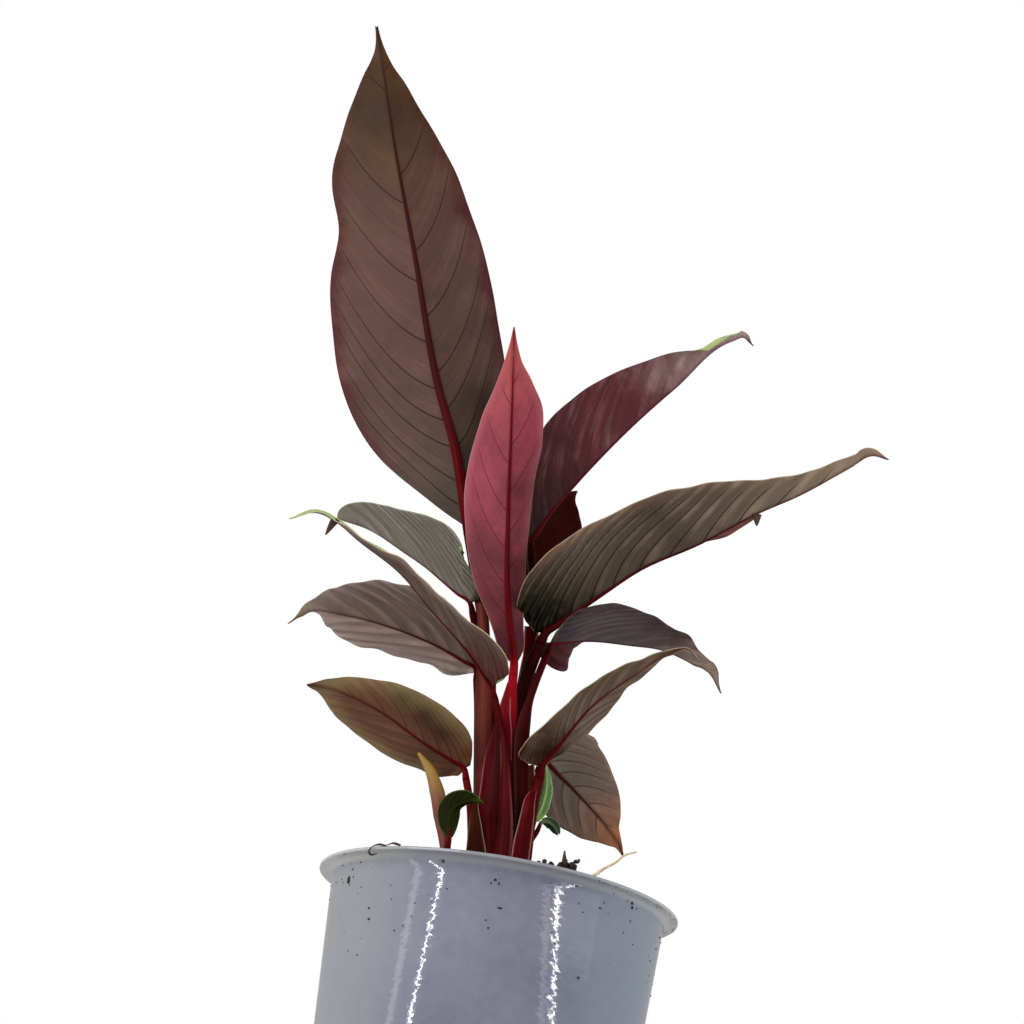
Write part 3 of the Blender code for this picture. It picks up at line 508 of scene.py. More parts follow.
            (0, 2), (0.06, 7), (0.16, 9), (0.32, 8), (0.48, 6), (0.64, 3.4), (0.76, 2.2), (0.88, 1.8),
            (1, 0.4),
        ),
        fold=(10, 62),
        sweep=(-2, 42),
        root=(-1, -11.5),
        way=((-1, -12, 140), (-4.2, -15, 163), (-6.6, -16.3, 175), (-11.2, -18, 187)),
        stalk_radius=3.7,
        radius=0.95,
        rib_share=0.35,
        tone=0.42,
        painted_sheen=0.08,
        flare=(0.2, 0.68),
        veins_left=(0.02, 0.08, 0.16, 0.26, 0.38, 0.52, 0.7),
        lean=(0.9, 1.0),
        wave=0.5,
        teeth=(((-79.8, -61.6, 233), (-82.2, -61, 226.1), 1.7),),
    ),
    "leaf_left_middle": Leaf(
        look=Look(
            centre="#77635c", margin="#7e6e68", base="#76665e", tip="#84784e", rib="#431820",
            vein="#4a3234", streak="#8a7c78", rim="#7a6a54", streak_strength=0.3,
            vein_strength=0.45, painted_pleat_shade=0.42, fibres=2.2, painted_half_light=((0.98, 1.32), (2.0, 2.0)),
            painted_light_spots=((-1, 0.95, 0.5, 10, 1.25),),
        ),
        rib=(
            (-22, 2, 209.7), (-35.8, -2, 213.7), (-55.2, -7, 216.7), (-73.2, -12, 216.7),
            (-87.4, -17, 213.7), (-93.6, -19, 206.9),
        ),
        faces=((0.1, 0.3, 0.95), (-0.3, 0.3, 0.9)),
        left=(
            (0, 3), (0.06, 11), (0.16, 18), (0.3, 23.5), (0.46, 22.5), (0.6, 19), (0.74, 12),
            (0.82, 7.5), (0.88, 4), (0.94, 1.4), (1, 0.3),
        ),
        right=(
            (0, 4), (0.05, 11), (0.11, 14.5), (0.2, 16), (0.3, 18.5), (0.46, 21.5), (0.58, 18.5),
            (0.66, 12.5), (0.74, 7), (0.82, 2.5), (0.92, 1), (1, 0.3),
        ),
        fold=(8, 8),
        root=(-9.5, 1),
        way=((-10, 2, 140.3), (-14.2, 2, 165.8), (-16.8, 2, 181.4), (-19.2, 2, 196)),
        stalk_radius=1.9,
        radius=0.9,
        rib_share=0.45,
        tone=0.35,
        veins_left=(0.04, 0.14, 0.26, 0.4, 0.56, 0.75),
        veins_right=(0.05, 0.2, 0.37, 0.56, 0.76),
        lean=(0.9, 1.0),
        pleat=0.8,
    ),
    "leaf_left_low": Leaf(
        look=Look(
            centre="#5f3e2e", margin="#786446", base="#6e4632", tip="#5e4c30", rib="#4c0c12",
            vein="#2c160e", streak="#7e624c", rim="#5a4a28", vein_strength=0.5, painted_pleat_shade=0.16,
            cloudy=0.8, fibres=6, painted_half_light=((1.25, 1.4), (1.4, 1.3)),
            painted_light_spots=((-1, 0.36, 0.55, 5, 0.4), (-1, 0.25, 0.45, 4, 0.5), (-1, 0.47, 0.6, 4, 0.6)),
        ),
        rib=((-20, -8, 167), (-34, -14, 171), (-55, -22, 179), (-76, -31, 181), (-80, -33, 180)),
        faces=((0.1, 0.4, 0.9), (-0.1, 0.4, 0.9)),
        left=(
            (0, 3), (0.05, 9), (0.12, 14.5), (0.22, 18), (0.36, 18), (0.5, 15.5), (0.62, 12.5),
            (0.74, 9), (0.86, 5), (0.94, 2.2), (1, 0.4),
        ),
        right=(
            (0, 6), (0.05, 12.5), (0.16, 16), (0.3, 20), (0.44, 21.5), (0.58, 19), (0.72, 12.5),
            (0.86, 6), (0.94, 3), (1, 0.4),
        ),
        fold=(8, 8),
        root=(-12.5, -8),
        way=((-12.8, -8, 140), (-14.2, -8, 148), (-16.3, -8.3, 156.5)),
        stalk_radius=1.7,
        radius=0.95,
        rib_share=0.4,
        tone=0.55,
        painted_sheen=0.1,
        veins_left=(0.02, 0.08, 0.16, 0.26, 0.38, 0.53, 0.72),
        veins_right=(0.05, 0.17, 0.32, 0.5, 0.72),
        lean=(0.9, 1.0),
        pleat=0.3,
        wave=0.2,
    ),
    "leaf_back_dark": Leaf(
        look=Look(
            centre="#480c07", margin="#3a0906", base="#200504", tip="#500f09", rib="#4a0c10",
            vein="#1e0504", rim="#3a1210", streak_strength=0.0, vein_strength=0.3, both_sides=True,
        ),
        rib=((-1, 14, 243), (1, 19, 261), (2.5, 26, 281), (5, 33, 298), (8, 37, 310)),
        faces=((0.1, 0.95, -0.2), (0.1, 0.95, -0.2)),
        left=(
            (0, 5), (0.06, 9), (0.16, 12.5), (0.34, 13), (0.5, 11.5), (0.68, 9.2), (0.76, 7), (0.82, 5),
            (0.89, 2.2), (0.95, 0.7), (1, 0.4),
        ),
        right=(
            (0, 4), (0.06, 7), (0.16, 10), (0.34, 14), (0.5, 16), (0.66, 15), (0.8, 12), (0.92, 6),
            (1, 0.4),
        ),
        fold=(10, 10),
        root=(-3, 12),
        way=((-3, 13, 180), (-3, 14, 225)),
        stalk_radius=2.2,
        radius=1.0,
        tone=0.1,
        wave=0.2,
    ),
    "leaf_small_back": Leaf(
        look=Look(
            centre="#4c7c22", margin="#7c9c66", base="#6cac2a", tip="#6c8c54", rib="#a8c088",
            vein="#b4c8a0", streak="#7a9a60", rim="#a8bca0", margin_reach=1.5, both_sides=True,
            vein_width=0.16,
        ),
        rib=((9.5, 6, 156), (11, 6.2, 161), (11.8, 6.5, 168), (11.2, 6.5, 174), (9.8, 6.5, 179)),
        faces=((-0.2, 0.9, 0.2), (0.2, 0.9, 0.2)),
        left=((0, 1.5), (0.1, 2.5), (0.3, 3), (0.6, 2.5), (0.8, 1.5), (1, 0.5)),
        right=((0, 2), (0.1, 4), (0.3, 5), (0.6, 4), (0.8, 2.5), (1, 0.5)),
        fold=(12, 12),
        radius=0.5,
        root=(6, 4),
        way=((7, 5, 140),),
        stalk_radius=1.6,
        pleat=0.4,
        wave=0.6,
        waves=4.0,
    ),
    "leaf_tiny_back": Leaf(
        look=Look(
            centre="#46583f", margin="#3c4c3a", base="#5a7a48", tip="#4a5a48", rib="#6a8060",
            vein="#2c3c2c", rim="#8a9a84", margin_reach=1.0, both_sides=True, vein_width=0.15,
        ),
        rib=((12.8, 10, 157), (15, 10.8, 157), (17, 11.5, 156), (19, 12, 153.8)),
        faces=((0.2, 0.8, 0.5), (0.3, 0.8, 0.5)),
        left=((0, 1), (0.2, 2), (0.5, 2.5), (0.8, 1.8), (1, 0.8)),
        right=((0, 1), (0.2, 2), (0.5, 2.5), (0.8, 1.8), (1, 0.8)),
        fold=(12, 12),
        radius=0.5,
        root=(7, 7),
        way=((7.5, 8, 144),),
        stalk_radius=1.4,
        pleat=0.1,
        wave=0.4,
        waves=3.0,
    ),
}

LEAF_SMALL_GREEN = Leaf(
    look=Look(
        centre="#1c1f03", margin="#1c1e03", base="#2c3206", tip="#3c5c0c", rib="#1e2404",
        vein="#0c1002", streak="#3e4e12", rim="#4c6a20", margin_reach=1.5, both_sides=True,
        vein_width=0.2,
    ),
    rib=(
        (-21, -24.5, 137), (-22, -25.2, 141.5), (-21.5, -26, 146), (-17.5, -28, 149),
        (-11.5, -29, 149.5),
    ),
    faces=((-0.3, 0.8, 0.3), (-0.2, 0.6, 0.8)),
    left=((0, 1.4), (0.08, 2.8), (0.2, 4.2), (0.4, 4.2), (0.52, 3), (0.68, 2), (0.85, 1.3), (1, 0.5)),
    right=((0, 1.2), (0.1, 2.4), (0.35, 4.8), (0.55, 5.4), (0.75, 3.8), (0.88, 2), (1, 0.5)),
    fold=(20, 20),
    radius=0.9,
    rib_share=0.1,
    root=(-21.5, -24),
    way=((-21.5, -24, 128), (-21, -24.3, 133)),
    stalk_radius=1.5,
    pleat=0.12,
    wave=0.25,
    waves=3.0,
)

# What stands in the mix by itself: where it stands, its points, and its radii from its foot up.
SMALL_STALK = (
    (-21.5, -24),
    ((-21.5, -24, 128), (-21, -24.3, 133), (-21, -24.5, 137)),
    (1.5, 1.5, 1.5, 1.4, 1.2, 0.9),
)
BUD = (
    (-20.5, -16.5),
    ((-21.6, -17.5, 133.5), (-25, -18, 145.6), (-28.1, -19, 154), (-31.8, -20, 160.5), (-37, -21, 165.8)),
    (1.5, 1.5, 1.5, 1.8, 2.9, 2.7, 1.8, 0.5),
)
LOOSE_ROOT = (
    (26, -42),
    ((29.9, -44, 127.9), (32.8, -43, 130.7), (36, -42, 133.2), (39.2, -41, 136.7), (43, -40, 138.6)),
    (0.9, 0.9, 0.9, 0.6, 0.45, 0.42, 0.38, 0.3),
)


SHEATH_WALL = 0.45
# The sheaths that clasp the stalks: left edge, right edge, how far the wall bulges, its tone from
# left to right, which paints light and shade across it, and its finish.
SHEATHS = (
    (
        (
            (-11.2, -11, 186.1), (-12.2, -10.5, 178.2), (-12.9, -10, 170.9), (-12.7, -10, 162.9),
            (-12.5, -10, 154.7), (-11.5, -10, 146.3), (-9.8, -10, 136.3), (-9, -9.5, 121),
        ),
        (
            (-9.9, -12.5, 186.6), (-8.3, -14, 177.9), (-6.8, -14, 170.8), (-5.6, -14, 163.1),
            (-4.7, -14, 155), (-3.3, -13, 146.9), (-1.7, -12, 137.2), (-1, -11, 121),
        ),
        1.2, (0.5, 0.2), 0,
    ),
    (
        (
            (6.6, -12.5, 162), (4.6, -14.5, 159.5), (3.5, -16, 156.8), (3, -17, 152.3),
            (2.6, -17, 147.3), (2, -16.5, 141.7), (2, -16, 135.3), (2, -14, 121),
        ),
        (
            (7.4, -14.5, 162.2), (7.3, -16, 158.4), (7.3, -17, 155.1), (7.7, -17.5, 151.4),
            (7.9, -17.2, 147.4), (8.1, -17, 142.4), (8.2, -16, 136.2), (8.2, -14, 121),
        ),
        0.5, (0.5, 0.3), 0,
    ),
    (
        (
            (-14.2, -9, 154.3), (-14.7, -10, 150.5), (-14.5, -11, 146.6), (-14.4, -11.5, 141.7),
            (-14.1, -11.5, 135.2), (-14, -11, 121),
        ),
        (
            (-12.9, -10, 155.3), (-11.9, -12, 150.5), (-10.6, -13, 146.8), (-9.1, -13, 142.3),
            (-7, -12.5, 136.2), (-6, -12, 121),
        ),
        0.8, (0.45, 0.25), 2,
    ),
    (
        (
            (-9.1, -10, 201.7), (-9.9, -10, 196.8), (-10.6, -10, 191.9), (-10, -10, 188),
            (-8.5, -10, 183.6), (-6.6, -10, 178.5), (-4.5, -9, 171.9),
        ),
        (
            (-8, -11, 201.8), (-7.3, -11.5, 196.9), (-6.6, -11.5, 192.1), (-6, -11.5, 188.3),
            (-4.9, -11, 183.7), (-4.1, -10.5, 178.4), (-3.1, -10, 171.7),
        ),
        0.3, (0.5, 0.8), 0,
    ),
    (
        ((2.8, -9, 171.3), (3, -9, 167.9), (3.5, -9, 164.2), (4.2, -9, 159.7), (4.4, -9, 150)),
        ((5.3, -9, 172.5), (6.2, -9, 168.5), (6.8, -9, 164.7), (6.7, -9, 160.2), (6.6, -9, 150)),
        0.4, (0.6, 0.4), 2,
    ),
    (
        (
            (-6.1, -2, 228.5), (-5.7, -2, 222.7), (-4.9, -2, 216.6), (-4.9, -2, 211.2),
            (-4.6, -2, 204.3),
        ),
        (
            (-0.1, -3, 228.4), (-0.5, -3, 223.3), (-1.9, -3, 216.8), (-3, -3, 211.2),
            (-3.5, -3, 204.2),
        ),
        0.2, (0.4, 0.3), 0,
    ),
)


# Paths and profiles


def unit(vectors):
    """The vectors, each made one long."""
    return vectors / np.linalg.norm(vectors, axis=-1, keepdims=True)


def circle(sides):
    """Angles of the corners of a ring."""
    return np.arange(sides) * 2 * np.pi / sides


def turned(radius, height, turn):
    """Points about Z at radii, heights and angles, which are spread over each other as arrays."""
    return np.stack(np.broadcast_arrays(radius * np.cos(turn), radius * np.sin(turn), height), axis=-1)


def run_of(points):
    """Distance along a line of points, at each of them."""
    return np.append(0, np.cumsum(np.linalg.norm(np.diff(points, axis=0), axis=1)))


def smooth_values(pairs, at):
    """Values on the smooth curve through (place, value) pairs.

    Each stretch is a cubic whose slopes at its ends are those of the neighbours' line.
    """
    x = np.array([pair[0] for pair in pairs], float)
    y = np.array([pair[1] for pair in pairs], float)
    slopes = np.gradient(y, x, axis=0)
    k = np.clip(np.searchsorted(x, at, side="right") - 1, 0, len(x) - 2)
    h = (x[k + 1] - x[k]).reshape(-1, *[1] * (y.ndim - 1))
    u = (at - x[k]).reshape(h.shape) / h
    return (
        (2 * u**3 - 3 * u**2 + 1) * y[k]
        + (u**3 - 2 * u**2 + u) * h * slopes[k]
        + (3 * u**2 - 2 * u**3) * y[k + 1]
        + (u**3 - u**2) * h * slopes[k + 1]
    )


def smooth_path(points, count):
    """Points evenly spaced along one smooth curve through the given points."""
    p = np.asarray(points, float)
    knots = run_of(p)
    dense = smooth_values(list(zip(knots, p)), np.linspace(0, knots[-1], 40 * len(p)))
    run = run_of(dense)
    return resample(dense, np.linspace(0, run[-1], count), run)


def resample(rows, at, places=None):
    """Rows of vectors read between their places, which are 0 to 1 if not given."""
    places = np.linspace(0, 1, len(rows)) if places is None else places
    return np.stack([np.interp(at, places, column) for column in rows.T], axis=1)


def frames_along(path, faces):
    """Tangent, side and upward direction at each point of a rib, the side being tangent x up."""
    tangent = unit(np.gradient(path, axis=0))
    if len(faces) > 2:
        face = smooth_path(faces, len(path))
    else:
        face = np.linspace(*np.array(faces, float), len(path))
    up = unit(face - (face * tangent).sum(1, keepdims=True) * tangent)
    return tangent, np.cross(tangent, up), up


def rib_points(leaf):
    """The rib's points, after a neck that goes on in the direction of the stalk.

    One more point, a neck's length past the foot, makes the line turn close to the foot.
    """
    points = np.array(leaf.rib, float)
    neck = points[0] - NECK * unit(points[0] - np.array(leaf.way[-1], float))
    ahead = points[1] - points[0]
    past = [points[0] + NECK * unit(ahead)] if np.linalg.norm(ahead) > 2.5 * NECK else []
    return np.array([neck, points[0], *past, *points[1:]])


def step_up(value, low, high):
    """0 below low, 1 above high, and a smooth rise between them."""
    t = np.clip((value - low) / (high - low), 0, 1)
    return t * t * (3 - 2 * t)


# Meshes


def paint(text):
    """An sRGB colour such as #8a3c48 as linear red, green, blue and alpha."""
    srgb = [int(text[k : k + 2], 16) / 255 for k in (1, 3, 5)]
    return (*[c / 12.92 if c <= 0.04045 else ((c + 0.055) / 1.055) ** 2.4 for c in srgb], 1.0)


def mesh_of(name, points, faces):
    """A mesh from points in millimetres and faces, an array for each run of faces with equal sides."""
    corners = np.concatenate([block.ravel() for block in faces])
    sides = np.concatenate([np.full(len(block), block.shape[1]) for block in faces])
    mesh = bpy.data.meshes.new(name)
    mesh.vertices.add(len(points))
    mesh.vertices.foreach_set("co", (points * MM).astype(np.float32).ravel())
    mesh.loops.add(len(corners))
    mesh.loops.foreach_set("vertex_index", corners.astype(np.int32))
    mesh.polygons.add(len(sides))
    mesh.polygons.foreach_set("loop_start", (np.cumsum(sides) - sides).astype(np.int32))
    mesh.update(calc_edges=True)
    return mesh


class Shell:
    """Gathers points, faces, finishes and values per point, for one mesh of several closed shells."""

    def __init__(self):
        self.points, self.faces, self.finish, self.smooth, self.values = [], [], [], [], {}
        self.count = 0

    def add(self, points, faces, finish=0, flat=0, **values):
        """Adds one closed shell; finish is a material's number, or one for each face.

        Ends, which have more than four sides, and the last flat faces, a sheet's edge, stay flat.
        """
        points = np.asarray(points, float).reshape(-1, 3)
        smooth = np.concatenate([np.full(len(block), block.shape[1] <= 4) for block in faces])
        smooth[len(smooth) - flat :] = False
        self.points.append(points)
        self.faces += [block + self.count for block in faces]
        self.finish.append(np.broadcast_to(finish, smooth.shape))
        self.smooth.append(smooth)
        for name, value in values.items():
            self.values.setdefault(name, []).append((self.count, np.broadcast_to(value, len(points))))
        self.count += len(points)

    def piece(self, name, finishes, node, slot=None, smooth=True):
        """Makes the object, in metres at the origin, and ties it to the solid that it stands for."""
        mesh = mesh_of(name, np.concatenate(self.points), self.faces)
        work = bmesh.new()
        work.from_mesh(mesh)
        bmesh.ops.recalc_face_normals(work, faces=work.faces)
        work.to_mesh(mesh)
        work.free()
        for finish in finishes:
            mesh.materials.append(finish)
        mesh.polygons.foreach_set("material_index", np.concatenate(self.finish).astype(np.int32))
        mesh.polygons.foreach_set("use_smooth", np.concatenate(self.smooth) & smooth)
        for key, parts in self.values.items():
            whole = np.zeros(self.count, np.float32)
            for start, value in parts:
                whole[start : start + len(value)] = value
            mesh.attributes.new(key, "FLOAT", "POINT").data.foreach_set("value", whole)
        mesh.update()
        made = bpy.data.objects.new(name, mesh)
        bpy.context.scene.collection.objects.link(made)
        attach(made, BODY)
        if node:
            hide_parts(node)
        return made


def grid_faces(rows, columns, closed=False):
    """Quads of a grid of points; closed joins the last column to the first."""
    number = np.arange(rows * columns).reshape(rows, columns)
    after = np.roll(number, -1, axis=1) if closed else number[:, 1:]
    number = number if closed else number[:, :-1]
    return np.stack([number[:-1], after[:-1], after[1:], number[1:]], axis=-1).reshape(-1, 4)


def tube_faces(rings, sides):
    """Faces of a closed tube: the quads of its rings, and its two ends."""
    number = np.arange(rings * sides).reshape(rings, sides)
    return [grid_faces(rings, sides, closed=True), number[:1, ::-1], number[-1:]]


def sheet_shell(grid, thickness):
    """A closed sheet from a grid: two offsets along its normals, joined round the edge.

    thickness is one number for each point. The first half of the points is the upper side. The
    side of each face comes back too: 0 for the upper one, 1 for the lower one and the edge.
    """
    rows, columns = grid.shape[:2]
    normals = unit(np.cross(np.gradient(grid, axis=1), np.gradient(grid, axis=0)))
    offset = normals * (thickness / 2)[..., None]
    points = np.concatenate([(grid + offset).reshape(-1, 3), (grid - offset).reshape(-1, 3)])
    upper = grid_faces(rows, columns)
    number = np.arange(rows * columns).reshape(rows, columns)
    loop = np.concatenate([number[0, :], number[1:, -1], number[-1, -2::-1], number[-2:0:-1, 0]])
    after = np.roll(loop, -1)
    under = rows * columns
    rim = np.stack([loop, after, after + under, loop + under], axis=1)
    faces = [np.concatenate([upper, upper[:, ::-1] + under, rim])]
    return points, faces, np.repeat([0, 1, 1], [len(upper), len(upper), len(rim)])


def carried(path, profile, up, first=None):
    """A closed tube: a profile carried along a path.

    profile holds, for each path point, the (across, up) offsets of its ring. The ring lies in the
    plane of side = tangent x up and of up itself. first is the tangent that the path starts with.
    """
    tangent = unit(np.gradient(path, axis=0))
    if first is not None:
        tangent[0] = first
    up = np.broadcast_to(np.asarray(up, float), path.shape)
    side = unit(np.cross(tangent, up))
    above = np.cross(side, tangent)
    points = path[:, None] + profile[..., :1] * side[:, None] + profile[..., 1:] * above[:, None]
    return points.reshape(-1, 3), tube_faces(*profile.shape[:2])


def round_profile(radii, sides):
    """Rings as offsets: radii holds one number for each ring, or one for each of its corners."""
    turn = circle(sides)
    radii = np.asarray(radii, float).reshape(len(radii), -1, 1)
    return radii * np.stack([np.cos(turn), np.sin(turn)], axis=1)


# Materials


def add(tree, kind, sockets=(), out=0, **settings):
    """Adds one shader node with its settings, fills or links its inputs, and gives one output."""
    made = tree.nodes.new("ShaderNode" + kind)
    for name, value in settings.items():
        setattr(made, name, value)
    for key, value in dict(sockets).items():
        if isinstance(value, bpy.types.NodeSocket):
            tree.links.new(value, made.inputs[key])
        else:
            made.inputs[key].default_value = value
    return made.outputs[out]


# A Mix node's colour inputs, and what makes it mix colours; what makes a MapRange node ease.
A, B = 6, 7
COLOURS = {"out": 2, "data_type": "RGBA"}
SMOOTH = {"interpolation_type": "SMOOTHSTEP"}


def new_finish(name, settings):
    """A material with its Principled shader's plain settings made, and its node tree."""
    finish = bpy.data.materials.new(name)
    finish.use_nodes = True
    shader = finish.node_tree.nodes["Principled BSDF"]
    for key, value in settings.items():
        shader.inputs[key].default_value = value
    return finish, finish.node_tree


def dress(finish, colour, height=None, strength=0.0, depth=0.0):
    """Gives a material its colour and, where there is a height, a bump of depth millimetres."""
    tree = finish.node_tree
    shader = tree.nodes["Principled BSDF"]
    tree.links.new(colour, shader.inputs["Base Color"])
    if height is not None:
        sockets = {"Strength": strength, "Distance": depth * MM, "Height": height}
        tree.links.new(add(tree, "Bump", sockets, out="Normal"), shader.inputs["Normal"])
    return finish


def tinted(tree, colour, layers):
    """Lays tints over a colour: (value, low, high, how much shows at low, and at high, tint)."""
    for value, low, high, first, last, tint in layers:
        sockets = {"Value": value, "From Min": low, "From Max": high, "To Min": first, "To Max": last}
        part = add(tree, "MapRange", sockets, **SMOOTH)
        colour = add(tree, "Mix", {0: part, A: colour, B: paint(tint)}, **COLOURS)
    return colour


def from_vein(tree, vein, gap, shift):
    """Millimetres from the nearest side vein with shift 0.5, from the nearest thin one with shift 0."""
    turn = add(tree, "Math", {0: vein, 1: shift}, operation="ADD")
    turn = add(tree, "Math", {0: turn}, operation="FRACT")
    turn = add(tree, "Math", {0: turn, 1: 0.5}, operation="SUBTRACT")
    turn = add(tree, "Math", {0: turn}, operation="ABSOLUTE")
    return add(tree, "Math", {0: turn, 1: gap}, operation="MULTIPLY")


def leaf_underside(name, look):
    """Underside of a thin leathery leaf blade: dull wax over dark pigment, and raised side veins.

    The blade carries, per point, its distances in millimetres from the midrib and the margin, its
    share of the length, a number that grows by one from each side vein to the next, the
    millimetres between those, 0 on the left half and 1 on the right, and the brightness of its
    painted light and shadows.
    """
    finish, tree = new_finish(name, {"Roughness": 0.5, "Specular IOR Level": 0.07})
    place = add(tree, "TexCoord", out="Object")
    across, edge, share, vein, gap, half, painted_light_spot = (
        add(tree, "Attribute", out="Fac", attribute_name=key)
        for key in ("across", "edge", "share", "vein", "gap", "half", "painted_light_spot")
    )
    # Clouds of pigment 17 mm wide, and grain of about 1 mm.
    cloud = add(tree, "TexNoise", {"Vector": place, "Scale": 60.0, "Detail": 5.0, "Roughness": 0.62})
    grain = add(tree, "TexNoise", {"Vector": place, "Scale": 1000.0, "Detail": 3.0, "Roughness": 0.7})
    # Fibres that run with the side veins, as many to a gap as the look says, some 17 mm long.
    lane = add(tree, "Math", {0: vein, 1: look.fibres}, operation="MULTIPLY")
    reach = add(tree, "Math", {0: across, 1: 0.06}, operation="MULTIPLY")
    spot = add(tree, "CombineXYZ", {"X": lane, "Y": reach})
    fibre = add(tree, "TexNoise", {"Vector": spot, "Scale": 1.0, "Detail": 2.0, "Roughness": 0.6})
    # Where the blade narrows to its tip both would be too fine to see, and fade to their mean.
    sockets = {"Value": share, "From Min": 0.72, "From Max": 0.92, "To Min": 1.0, "To Max": 0.0}
    calm = add(tree, "MapRange", sockets)
    fibre = add(tree, "Mix", {0: calm, 2: 0.47, 3: fibre})
    grain = add(tree, "Mix", {0: calm, 2: 0.5, 3: grain})
    # Clouds move the borders of the tints back and forth.
    drift = add(tree, "Math", {0: cloud, 1: 0.5}, operation="SUBTRACT")
    near_edge = add(
        tree, "Math", {0: drift, 1: 1.6 * look.margin_reach, 2: edge}, operation="MULTIPLY_ADD"
    )
    at = add(tree, "Math", {0: drift, 1: 0.5, 2: share}, operation="MULTIPLY_ADD")
    tints = (
        (near_edge, 0.0, look.margin_reach, 1.0, 0.0, look.margin),
        (at, 0.0, look.base_reach, 1.0, 0.0, look.base),
        (at, 1 - look.tip_reach, 1.0, 0.0, 1.0, look.tip),
    )
    colour = tinted(tree, paint(look.centre), tints)
    if look.left_tint:
        colour = add(tree, "Mix", {0: half, A: paint(look.left_tint), B: colour}, **COLOURS)
    # Painted light and shade on the pleats: each panel between two side veins is painted light on its
    # lower slope and dark on its upper one.
    wave = add(tree, "Math", {0: vein, 1: 2 * math.pi}, operation="MULTIPLY")
    wave = add(tree, "Math", {0: wave}, operation="SINE")
    patch = add(tree, "MapRange", {"Value": cloud, "From Min": 0.38, "From Max": 0.62})
    for part in (calm, patch):
        wave = add(tree, "Math", {0: wave, 1: part}, operation="MULTIPLY")
    # The brightness is a number and what each pattern adds to it.
    shade = 0.745
    for pattern, weight in ((wave, look.painted_pleat_shade), (grain, 0.34), (fibre, 0.22), (drift, look.cloudy)):
        shade = add(tree, "Math", {0: pattern, 1: weight, 2: shade}, operation="MULTIPLY_ADD")
    # Painted light and shade: the left half and the right half are painted unequally bright, each
    # changing from foot to tip, and the painted spots of light and shadow are multiplied in.
    left, right = (
        add(tree, "MapRange", {"Value": share, "To Min": near, "To Max": far})
        for near, far in look.painted_half_light
    )
    bright = add(tree, "Mix", {0: half, 2: left, 3: right})
    for part in (bright, painted_light_spot):
        shade = add(tree, "Math", {0: shade, 1: part}, operation="MULTIPLY")
    colour = add(tree, "HueSaturation", {"Color": colour, "Value": shade})
    # Soft pale streaks along the panels, where the wax is thicker.
    streak = add(tree, "MapRange", {"Value": fibre, "From Min": 0.5, "From Max": 0.75})
    for part in (patch, look.streak_strength):
        streak = add(tree, "Math", {0: streak, 1: part}, operation="MULTIPLY")
    colour = add(tree, "Mix", {0: streak, A: colour, B: paint(look.streak)}, **COLOURS)
    # The side veins, and the thin ones between them, fade out before they reach the margin.
    inside = add(tree, "MapRange", {"Value": edge, "From Min": 0.8, "From Max": 5.0})
    for shift, wide, strength in ((0.5, 1.0, 1.0), (0.0, 0.6, 0.3)):
        wide, strength = wide * look.vein_width, strength * look.vein_strength
        off_vein = from_vein(tree, vein, gap, shift)
        sockets = {"Value": off_vein, "From Min": 0.3 * wide, "From Max": wide}
        line = add(tree, "MapRange", {**sockets, "To Min": strength, "To Max": 0.0}, **SMOOTH)
        line = add(tree, "Math", {0: line, 1: inside}, operation="MULTIPLY")
        colour = add(tree, "Mix", {0: line, A: colour, B: paint(look.vein)}, **COLOURS)
    borders = (
        (across, 0.3, 1.5, 0.45, 0.0, look.rib),
        (edge, 0.12, 0.34, look.rim_strength, 0.0, look.rim),
    )
    colour = tinted(tree, colour, borders)
    height = add(tree, "Math", {0: fibre, 1: 0.8, 2: grain}, operation="MULTIPLY_ADD")
    return dress(finish, colour, height, 0.5, 0.16)


def leaf_upper():
    """Upper side of the leaf: satin mid green with silvery bands between the side veins."""
    finish, tree = new_finish("leaf_upper_green", {"Roughness": 0.38})
    place = add(tree, "TexCoord", out="Object")
    across, edge, share, vein, gap = (
        add(tree, "Attribute", out="Fac", attribute_name=key)
        for key in ("across", "edge", "share", "vein", "gap")
    )
    cloud = add(tree, "TexNoise", {"Vector": place, "Scale": 90.0, "Detail": 5.0, "Roughness": 0.65})
    grain = add(tree, "TexNoise", {"Vector": place, "Scale": 800.0, "Detail": 3.0})
    # Silver starts 1 to 3 mm from a side vein, as clouds 11 mm wide have it, and stops 2.5 to 6 mm
    # from the margin.
    blotch = add(
        tree, "Math", {0: cloud, 1: 6.0, 2: from_vein(tree, vein, gap, 0.5)}, operation="MULTIPLY_ADD"
    )
    sockets = {"Value": blotch, "From Min": 4.2, "From Max": 6.2, "To Max": 0.6}
    silver = add(tree, "MapRange", sockets, **SMOOTH)
    inside = add(tree, "MapRange", {"Value": edge, "From Min": 2.5, "From Max": 6.0})
    silver = add(tree, "Math", {0: silver, 1: inside}, operation="MULTIPLY")
    colour = add(tree, "Mix", {0: silver, A: paint("#36592a"), B: paint("#92a58a")}, **COLOURS)
    # The margin is pale for 2 mm, and for 3.5 mm more near the tip.
    young = add(tree, "MapRange", {"Value": share, "From Min": 0.66, "From Max": 0.82, "To Max": 3.5})
    rim = add(tree, "Math", {0: edge, 1: young}, operation="SUBTRACT")
    borders = ((across, 0.5, 1.6, 0.8, 0.0, "#7f9a58"), (rim, 0.3, 2.0, 0.95, 0.0, "#a9bd74"))
    colour = tinted(tree, colour, borders)
    shade = add(tree, "Math", {0: grain, 1: 0.4, 2: 0.8}, operation="MULTIPLY_ADD")
    colour = add(tree, "HueSaturation", {"Color": colour, "Value": shade})
    return dress(finish, colour, grain, 0.4, 0.12)


def stalk_tones(colours):
    """The stalks' dark, middle and bright colour."""
    return paint(STALK_DARK), tuple(colours.stalk), paint(STALK_BRIGHT)


